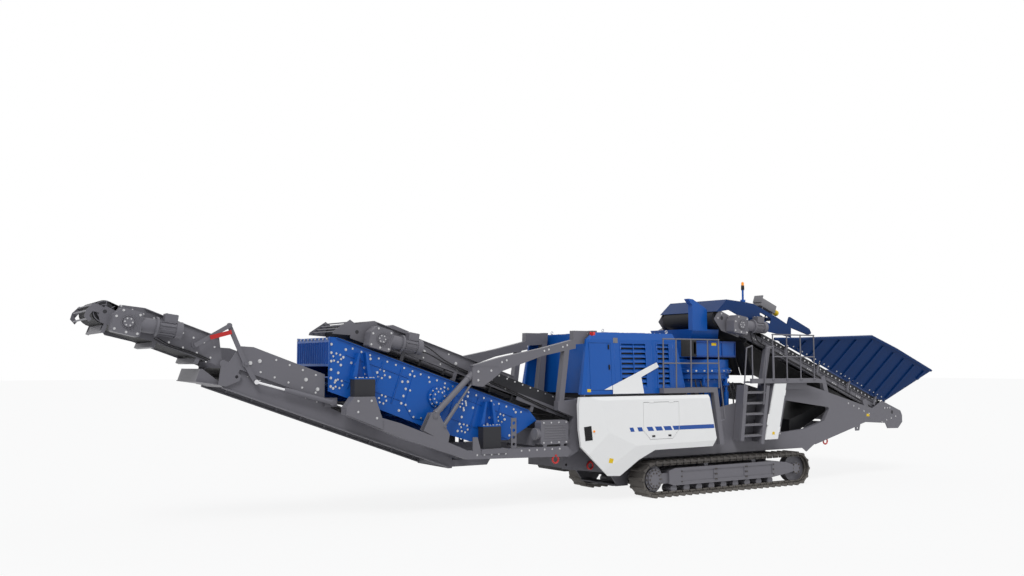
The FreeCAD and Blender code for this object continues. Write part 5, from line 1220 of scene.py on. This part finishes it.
@dataclass
class ScreenDetails:
    """Bolt rows, ribs, end strips, top seals and the hangers' bolts of the screen box."""

    face: float = 0.850
    columns: tuple[tuple[float, float, float, int], ...] = (
        (0.060, -0.10, 0.000, 0), (0.42, -0.12, -0.92, 6), (0.98, -0.12, -0.92, 6), (1.92, -0.14, -0.90, 6),
        (2.86, -0.14, -0.90, 6), (3.36, -0.14, -0.90, 6), (4.02, -0.12, -0.84, 6), (4.62, -0.10, -0.62, 4))

    def build(self) -> None:
        """Make both sides' pieces."""
        bolts, ribs = Shape("screen_bolts"), Shape("screen_ribs")
        for way in (NEAR, FAR):
            y, out = way * (self.face + 0.001), outwards(way)
            for s, high, low, count in self.columns[1:]:
                bolts.bolts(SCREEN.at(s, high, y), SCREEN.at(s, low, y), count, out, 0.020, 0.016)
            bolts.bolts(SCREEN.at(0.10, -0.12, y), SCREEN.at(0.36, -0.90, y), 6, out, 0.020, 0.016)
            bolts.bolts(SCREEN.at(0.55, -0.055, y), SCREEN.at(4.75, -0.055, y), 22, out, 0.016, 0.012)
            bolts.bolts(SCREEN.at(0.62, -0.33, y), SCREEN.at(1.80, -0.33, y), 5, out, 0.020, 0.016)
            bolts.bolts(SCREEN.at(3.00, -0.33, y), SCREEN.at(4.40, -0.33, y), 6, out, 0.020, 0.016)
            for s, h in ((0.300, -0.330), (1.300, -0.330), (3.300, -0.330), (4.300, -0.330), (0.500, -0.800),
                         (1.500, -0.800), (3.500, -0.800)):
                for i in range(6):
                    a = i * math.pi / 3
                    bolts.bolt(SCREEN.at(s + 0.085 * math.cos(a), h + 0.085 * math.sin(a), y), out, 0.016, 0.014)
                ribs.rod(SCREEN.at(s, h, way * (self.face - 0.004)), SCREEN.at(s, h, way * (self.face + 0.012)), 0.060,
                         20)
            self._round(bolts, way)
            for s in (0.70, 1.26, 1.70, 3.05, 3.62, 4.20, 4.72):
                ribs.block(SCREEN.at(s, -0.45, way * (self.face + 0.010)), (0.014, 0.020, 0.74 if s < 4.5 else 0.42),
                           SCREEN.turn(), 0.003)
            for h in (-0.215, -0.700):
                ribs.block(SCREEN.at(1.18, h, way * (self.face + 0.008)), (1.46, 0.016, 0.014), SCREEN.turn(), 0.003)
                ribs.block(SCREEN.at(3.85, h, way * (self.face + 0.008)), (1.50, 0.016, 0.014), SCREEN.turn(), 0.003)
            for x, z in ((-9.510, 2.830), (-6.580, 1.810)):
                for y, reach, count in ((way * 1.020, 0.17, 4), (way * 1.075, 0.19, 6)):
                    bolts.bolts(place(x - reach, y, z - 0.020), place(x + reach, y, z - 0.020), count, UP, 0.014, 0.013)
        bolts.finish(ZINC, Body.MACHINE, Slot.CHROME)
        ribs.finish(BLUE, Body.MACHINE, Slot.BLUE)
        self._end_wall()
        self._skirt()

    def _round(self, bolts: Shape, way: int) -> None:
        """Add the bolts of one vibrator's plate and cover."""
        x, z = -7.790, 2.390
        for count, radius, y in ((12, 0.185, 0.9245), (8, 0.120, 0.9825)):
            for i in range(count):
                a = 2 * math.pi * i / count + 0.2
                bolts.bolt(place(x + radius * math.cos(a), way * y, z + radius * math.sin(a)), outwards(way), 0.014,
                           0.012)
        corners = ((2.02, -0.14), (2.76, -0.14), (2.76, -0.55), (2.62, -0.87), (2.27, -0.93), (2.02, -0.75))
        for (s0, h0), (s1, h1) in zip(corners, corners[1:] + corners[:1]):
            bolts.bolts(SCREEN.at(s0, h0, way * 0.865), SCREEN.at((s0 + s1) / 2, (h0 + h1) / 2, way * 0.865), 2,
                        outwards(way), 0.017, 0.014)

    def _end_wall(self) -> None:
        """Make the bolts and the corrugated strips of the box's high end."""
        bolts, strips = Shape("screen_end_bolts"), Shape("screen_end_strips")
        for i in range(9):
            y = -0.80 + i * 0.20
            bolts.bolt(SCREEN.at(-0.001, -0.045, y), -SCREEN.along, 0.016, 0.012)
        for i in range(14):
            y = -0.78 + i * 0.12
            a, b = SCREEN.at(0.030, -0.100, y), SCREEN.at(0.168, -0.500, y)
            strips.rod(a, b, 0.020, 8)
        bolts.finish(ZINC, Body.MACHINE, Slot.CHROME)
        strips.finish(DEEP_BLUE, Body.MACHINE, Slot.BLUE)

    def _skirt(self) -> None:
        """Make the black seal strips along the top of the screen's side plates."""
        seal = Shape("screen_top_seal")
        for way in (NEAR, FAR):
            seal.block(SCREEN.at(2.55, 0.050, way * 0.845), (4.60, 0.050, 0.020), SCREEN.turn(), 0.004)
        seal.finish(RUBBER, Body.MACHINE, Slot.RUBBER)


@dataclass
class SubframeDetails:
    """Bolts of the pedestals, hangers and struts, with the rod's boots and clamps."""

    def build(self) -> None:
        """Make the bolts and the clamps on both sides."""
        bolts, clamps = Shape("subframe_bolts"), Shape("strut_clamps")
        for way in (NEAR, FAR):
            out = outwards(way)
            beam_y, arm_y = way * 1.181, way * 1.061
            for x, z in ((-9.700, 2.360), (-9.420, 2.360), (-9.700, 2.150), (-9.300, 2.020)):
                bolts.bolt(place(x, way * 1.211, z), out, 0.018, 0.014)
            for x0, x1, z, count in ((-7.00, -6.30, 1.19, 5), (-5.90, -4.90, 1.23, 6)):
                bolts.bolts(place(x0, beam_y, z), place(x1, beam_y, z), count, out, 0.016, 0.012)
            for x, z in ((-4.02, 3.62), (-3.88, 3.62), (-4.02, 3.76), (-4.60, 3.50), (-4.72, 3.46), (-5.10, 3.40),
                         (-5.22, 3.37), (-6.20, 3.16), (-6.32, 3.12), (-4.05, 2.50), (-4.02, 2.66), (-4.20, 2.22),
                         (-4.12, 2.18)):
                bolts.bolt(place(x, arm_y, z), out, 0.018, 0.014)
            for x, z in ((-6.92, 2.92), (-6.92, 2.74), (-6.60, 2.94)):
                bolts.bolt(place(x, way * 1.081, z), out, 0.020, 0.016)
            for x, z, r in ((-7.990, 2.020, 0.040), (-7.760, 1.800, 0.024)):
                clamps.rod(place(x, way * 1.176, z), place(x, way * 1.196, z), r * 1.35, 16, ease=0.004)
                clamps.rod(place(x, way * 1.192, z), place(x, way * 1.204, z), r * 0.8, 6)
            for t in (0.10, 0.90):
                start, end = place(-7.000, way * 1.010, 2.900), place(-7.990, way * 1.094, 2.020)
                clamps.rod(start.lerp(end, t), start.lerp(end, t + 0.05), 0.074, 16, ease=0.006)
        bolts.finish(ZINC, Body.MACHINE, Slot.CHROME)
        clamps.finish(GREY, Body.MACHINE, Slot.GREY)


# Conveyors


@dataclass
class DischargeDetails:
    """Bolts, idlers and hoses of the crusher's discharge conveyor."""

    half: float = 0.650

    def build(self) -> None:
        """Make every piece of the conveyor."""
        bolts, idlers = Shape("discharge_bolts"), Shape("discharge_idlers")
        for way in (NEAR, FAR):
            out = outwards(way)
            bolts.bolts(DISCHARGE.at(2.05, 0.30, way * self.half), DISCHARGE.at(5.20, 0.30, way * self.half), 5, out,
                        0.014, 0.012)
            bolts.bolts(DISCHARGE.at(2.05, 0.04, way * self.half), DISCHARGE.at(4.60, 0.04, way * self.half), 7, out,
                        0.014, 0.012)
            bolts.bolts(DISCHARGE.at(0.36, 0.26, way * 0.669), DISCHARGE.at(2.30, 0.26, way * 0.669), 10, out, 0.014,
                        0.012)
            for s in (2.60, 3.40, 4.20):
                bolts.bolt(DISCHARGE.at(s, 0.17, way * self.half), out, 0.026, 0.018)
        for s in (0.60, 1.20, 1.80, 2.40, 3.00, 3.60, 4.20):
            idlers.rod(DISCHARGE.at(s, -0.112, -0.60), DISCHARGE.at(s, -0.112, 0.60), 0.038, 14)
            for y in (-0.61, 0.61):
                idlers.block(DISCHARGE.at(s, -0.070, y), (0.050, 0.012, 0.160), DISCHARGE.turn(), 0.003)
        bolts.finish(ZINC, Body.MACHINE, Slot.CHROME)
        idlers.finish(IRON, Body.MACHINE, Slot.IRON)
        runs = [[place(-8.10, -0.86, 3.46), place(-7.90, -0.74, 3.42), DISCHARGE.at(3.60, 0.10, -0.672),
                 DISCHARGE.at(2.40, 0.09, -0.672), DISCHARGE.at(1.00, -0.02, -0.690),
                 DISCHARGE.at(0.30, -0.04, -0.690)],
                [place(-8.30, -0.90, 3.36), place(-8.00, -0.76, 3.34), DISCHARGE.at(3.55, 0.06, -0.672),
                 DISCHARGE.at(2.30, 0.05, -0.672), DISCHARGE.at(0.90, -0.06, -0.690)]]
        hose("discharge_hoses", runs, 0.012, RUBBER, Body.MACHINE)


@dataclass
class FinesDetails:
    """Bolts, idlers, brackets and hoses of the fines conveyor's lower section."""

    plate_y: float = 0.701
    deep_y: float = 0.761

    @staticmethod
    def at(x: float, up: float, y: float) -> Vector:
        """Return a place by its x and its height over the trough's lower edge."""
        return place(x, y, 2.630 - (x + 12.120) * 0.364 + up)

    def build(self) -> None:
        """Make every piece of the lower section."""
        bolts, idlers, rollers = Shape("fines_bolts"), Shape("fines_idlers"), Shape("fines_brackets")
        for way in (NEAR, FAR):
            out = outwards(way)
            bolts.bolts(self.at(-11.95, 0.36, way * self.plate_y), self.at(-7.60, 0.36, way * self.plate_y), 20, out,
                        0.012, 0.010)
            y = way * self.deep_y
            bolts.bolts(self.at(-11.50, 0.52, y), self.at(-10.40, 0.52, y), 5, out, 0.016, 0.012)
            bolts.bolts(self.at(-11.20, 0.86, y), self.at(-10.40, 0.86, y), 4, out, 0.016, 0.012)
            for x, up in ((-10.60, 0.70), (-10.36, 0.60), (-11.70, 0.62), (-11.52, 0.72)):
                bolts.bolt(self.at(x, up, way * self.deep_y), out, 0.028, 0.020)
        for i in range(9):
            x = -11.70 + i * 0.52
            idlers.rod(self.at(x, 0.135, -0.672), self.at(x, 0.135, 0.672), 0.034, 12)
            for y in (-0.675, 0.675):
                rollers.block(self.at(x, 0.100, y), (0.050, 0.014, 0.150), FINES.turn(), 0.003)
        bolts.finish(ZINC, Body.MACHINE, Slot.CHROME)
        idlers.finish(IRON, Body.MACHINE, Slot.IRON)
        rollers.finish(GREY, Body.MACHINE, Slot.GREY)
        runs = []
        for k in range(3):
            up, y = 0.405 - 0.030 * k, -0.712 - 0.004 * k
            runs.append([self.at(-10.05, up, y), self.at(-9.60, up - 0.02, y), self.at(-9.10, up - 0.01, y),
                         self.at(-8.60, up - 0.03, y), self.at(-8.10, up, y), self.at(-7.60, up - 0.02, y)])
        hose("fines_hoses", runs, 0.010, RUBBER, Body.MACHINE)
        line = [[self.at(-9.40, 0.33, -0.712), self.at(-9.00, 0.31, -0.712), self.at(-8.70, 0.315, -0.712)]]
        hose("fines_red_line", line, 0.010, RED, Body.MACHINE)


@dataclass
class HeadDetails:
    """Guard wires, bolts and hoses of the folding head section."""

    half: float = 0.680

    def build(self) -> None:
        """Make every piece that folds with the head."""
        bolts = Shape("head_bolts")
        for way in (NEAR, FAR):
            y, out = way * (self.half + 0.001), outwards(way)
            for s0, h0, s1, h1, count in ((0.25, 0.24, 1.30, 0.30, 6), (0.25, 0.03, 1.05, 0.03, 4),
                                          (1.45, 0.34, 2.05, 0.34, 4)):
                bolts.bolts(HEAD.at(s0, h0, y), HEAD.at(s1, h1, y), count, out, 0.014, 0.012)
        bolts.finish(ZINC, Body.HEAD, Slot.CHROME)
        guard = Shape("head_guard_wires")
        for way in (NEAR, FAR):
            y = way * 0.700
            centre = HEAD.at(2.275, 0.140, y)
            for radius in (0.120, 0.185):
                guard.ring(centre, OUT_NEAR, radius, 0.009, 20, 200.0, HEAD.up)
            for k in range(5):
                a = math.radians(-20 + k * 50)
                way_out = HEAD.along * math.cos(a) + HEAD.up * math.sin(a)
                guard.rod(centre + way_out * 0.06, centre + way_out * 0.19, 0.008, 8)
        guard.finish(GREY, Body.HEAD, Slot.GREY)
        runs = [[HEAD.at(1.30, 0.02, -0.86), HEAD.at(1.10, -0.02, -0.74), HEAD.at(0.80, 0.00, -0.705),
                 HEAD.at(0.45, 0.01, -0.705), HEAD.at(0.25, -0.01, -0.705)],
                [HEAD.at(1.36, -0.02, -0.90), HEAD.at(1.12, -0.05, -0.75), HEAD.at(0.78, -0.03, -0.705),
                 HEAD.at(0.50, -0.02, -0.705), HEAD.at(0.28, -0.04, -0.705)]]
        hose("head_hoses", runs, 0.011, RUBBER, Body.HEAD)


@dataclass
class CrossDetails:
    """Bolts, fan guard and rubber chute of the cross conveyor."""

    def build(self) -> None:
        """Make every piece of the cross conveyor."""
        bolts = Shape("cross_bolts")
        for x in (-5.30, -5.10, -4.90, -4.70):
            for z in (1.37, 1.80):
                bolts.bolt(place(x, -1.151, z), OUT_NEAR, 0.015, 0.012)
        bolts.finish(ZINC, Body.MACHINE, Slot.CHROME)
        fins = Shape("cross_drive_fins")
        for k in range(7):
            fins.block(place(-5.000, -1.152, 1.420 + k * 0.055), (0.560, 0.016, 0.012), bevel=0.003)
        fins.rod(place(-5.470, -1.035, 1.560), place(-5.452, -1.035, 1.560), 0.132, 20)
        fins.finish(LIGHT_GREY, Body.MACHINE, Slot.GREY)
        chute = Shape("cross_rubber_chute")
        chute.sheet([place(-4.640, -0.640, 1.330), place(-4.640, 0.640, 1.330), place(-4.300, 0.520, 0.640),
                     place(-4.300, -0.520, 0.640)], Vector((0.020, 0, 0)), 0.004)
        for y in (-0.640, 0.620):
            inner = -1 if y > 0 else 1
            chute.sheet([place(-4.640, y, 1.330), place(-4.180, y, 1.300), place(-4.180, y + inner * 0.10, 0.640),
                         place(-4.300, y + inner * 0.12, 0.640)], Vector((0, 0.020, 0)), 0.004)
        chute.finish(RUBBER, Body.MACHINE, Slot.RUBBER)


@dataclass
class DriveDetails:
    """Bolts, terminal box screws and cooling ribs of one gear motor."""

    name: str
    line: Slope
    s: float
    h: float
    wall: float
    tilt: float
    body: Body

    def build(self) -> None:
        """Make the gear motor's small parts, turned with it."""
        turn = Matrix.Rotation(math.radians(self.tilt), 3, "Y")
        centre = self.line.at(self.s, self.h, 0)
        face = -(self.wall + 0.060 + 0.270)

        def at(dx: float, dz: float, y: float) -> Vector:
            """Return a place counted from the drive's shaft."""
            return centre + turn @ Vector((dx, 0, dz)) + Vector((0, y, 0))

        bolts = Shape(f"{self.name}_bolts")
        for dx, dz in ((-0.25, 0.07), (-0.25, -0.15), (0.14, 0.15), (0.14, -0.18), (-0.15, 0.19), (-0.05, -0.18)):
            bolts.bolt(at(dx, dz, face - 0.001), OUT_NEAR, 0.017, 0.014)
        for i in range(6):
            a = i * math.pi / 3
            bolts.bolt(at(-0.04 + 0.065 * math.cos(a), 0.065 * math.sin(a), face - 0.031), OUT_NEAR, 0.011, 0.010)
        for y in (-0.05, 0.05):
            for dx in (0.60, 0.77):
                bolts.bolt(at(dx, 0.261, face + 0.135 + y), turn @ UP, 0.009, 0.008)
        bolts.finish(ZINC, self.body, Slot.CHROME)
        plate = Shape(f"{self.name}_ribs")
        for k in range(5):
            plate.block(at(-0.02 + k * 0.045, -0.005, face - 0.003), (0.012, 0.014, 0.30), turn, 0.003)
        plate.ring(at(-0.040, 0, face - 0.010), OUT_NEAR, 0.110, 0.010, 24)
        plate.finish(GREY, self.body, Slot.GREY)


PARTS = [
    TrackDetails(NEAR), TrackDetails(FAR), CoverDetails(NEAR), CoverDetails(FAR), HoodDetails(NEAR), HoodDetails(FAR),
    HoodRoof(), BeaconMast(), FeederDetails(), CrusherDetails(), HopperDetails(), StepsAndRails(), ChassisDetails(),
    ScreenDetails(), SubframeDetails(), DischargeDetails(), FinesDetails(), HeadDetails(), CrossDetails(),
    DriveDetails("feeder_drive", FEED, 0.430, -0.020, 1.050, 3.0, Body.MACHINE),
    DriveDetails("discharge_drive", DISCHARGE, 5.300, 0.045, 0.650, 10.0, Body.MACHINE),
    DriveDetails("head_drive", HEAD, 1.853, 0.092, 0.680, 8.0, Body.HEAD),
]


# Stage, camera and light


@dataclass
class Studio:
    """The pale floor, the soft lamps and the camera of the picture."""

    floor_size: float = 400.0
    camera_place: Point = (-17.66, -19.18, 3.06)
    camera_tilt: float = 94.42
    camera_turn: float = -32.62
    lens: float = 35.0
    backdrop_share: float = 0.86
    sky_strength: float = 0.45
    key_strength: float = 1.55
    rim_strength: float = 0.30

    def build(self) -> None:
        """Make the floor, the world, the lamps and the camera."""
        self._camera()
        self._floor()
        self._world()
        self._lamp("key_lamp", (-0.55, -0.62, 0.95), self.key_strength, 24.0)
        self._lamp("fill_lamp", (0.75, -0.5, 0.5), self.rim_strength, 60.0)

    def _camera(self) -> None:
        """Place the camera where the photograph was taken from."""
        lens = bpy.data.cameras.new("camera")
        lens.lens = self.lens
        lens.sensor_width = 36.0
        lens.clip_end = 1000.0
        made = bpy.data.objects.new("camera", lens)
        made.location = place(*self.camera_place)
        made.rotation_euler = (math.radians(self.camera_tilt), 0.0, math.radians(self.camera_turn))
        bpy.context.scene.collection.objects.link(made)
        bpy.context.scene.camera = made

    @staticmethod
    def _seen_directly(w: Wires) -> bpy.types.NodeSocket:
        """Return 1 where the camera, or a mirror or glass before it, sees the surface."""
        path = w.node("ShaderNodeLightPath").outputs
        both = w.maths("MAXIMUM", path["Is Camera Ray"], path["Is Glossy Ray"])
        return w.maths("MAXIMUM", both, path["Is Transmission Ray"])

    def _floor(self) -> None:
        """Make the floor, pale to the camera and with the machine's soft shadow."""
        bm = bmesh.new()
        bmesh.ops.create_grid(bm, x_segments=1, y_segments=1, size=self.floor_size / 2)
        mesh = bpy.data.meshes.new("floor")
        bm.to_mesh(mesh)
        bm.free()
        floor = bpy.data.objects.new("floor", mesh)
        bpy.context.scene.collection.objects.link(floor)
        pale = bpy.data.materials.new("floor_paper")
        pale.use_nodes = True
        w = Wires(pale.node_tree)
        shader, out = pale.node_tree.nodes["Principled BSDF"], pale.node_tree.nodes["Material Output"]
        shader.inputs["Base Color"].default_value = (0.8, 0.8, 0.8, 1.0)
        shader.inputs["Roughness"].default_value = 0.9
        shader.inputs["Specular IOR Level"].default_value = 0.0
        glow = w.node("ShaderNodeEmission", Strength=1.0)
        mix = w.node("ShaderNodeMixShader")
        w.join(w.maths("MULTIPLY", self._seen_directly(w), self.backdrop_share), mix.inputs[0])
        w.join(shader.outputs[0], mix.inputs[1])
        w.join(glow.outputs[0], mix.inputs[2])
        w.join(mix.outputs[0], out.inputs["Surface"])
        mesh.materials.append(pale)

    def _world(self) -> None:
        """Make the sky: white behind the machine, softer as a light."""
        world = bpy.data.worlds.new("studio")
        bpy.context.scene.world = world
        world.use_nodes = True
        w = Wires(world.node_tree)
        out = world.node_tree.nodes["World Output"]
        sky = world.node_tree.nodes["Background"]
        sky.inputs["Color"].default_value = (0.95, 0.97, 1.0, 1.0)
        sky.inputs["Strength"].default_value = self.sky_strength
        white = w.node("ShaderNodeBackground", Strength=1.0)
        white.inputs["Color"].default_value = (1.0, 1.0, 1.0, 1.0)
        mix = w.node("ShaderNodeMixShader")
        w.join(self._seen_directly(w), mix.inputs[0])
        w.join(sky.outputs[0], mix.inputs[1])
        w.join(white.outputs[0], mix.inputs[2])
        w.join(mix.outputs[0], out.inputs["Surface"])

    def _lamp(self, name: str, towards: Point, strength: float, softness: float) -> None:
        """Add a distant soft lamp.

        Args:
            name: The lamp's name.
            towards: The way from the machine to the lamp.
            strength: Its strength.
            softness: The angle in degrees that it covers in the sky.
        """
        lamp = bpy.data.lights.new(name, "SUN")
        lamp.energy = strength
        lamp.angle = math.radians(softness)
        made = bpy.data.objects.new(name, lamp)
        made.rotation_euler = Vector(towards).to_track_quat("Z", "Y").to_euler()
        bpy.context.scene.collection.objects.link(made)


def dress_nodes(nodes: dict[str, bpy.types.Object]) -> None:
    """Give every CAD solid that stays in sight its finish.

    Args:
        nodes: The frame's objects by node name.
    """
    for finish, names in NODE_FINISH.items():
        for name in names.split():
            for socket in nodes[name].material_slots:
                socket.material = finish.material()
        LOG.info("dressed %s", names)


def main() -> None:
    """Load the frame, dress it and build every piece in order."""
    logging.basicConfig(level=logging.INFO, format="%(name)s: %(message)s")
    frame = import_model()
    bpy.context.scene.view_settings.view_transform = "Standard"
    Studio().build()
    dress_nodes(frame["nodes"])
    for part in PARTS:
        part.build()


if __name__ == "__main__":
    main()
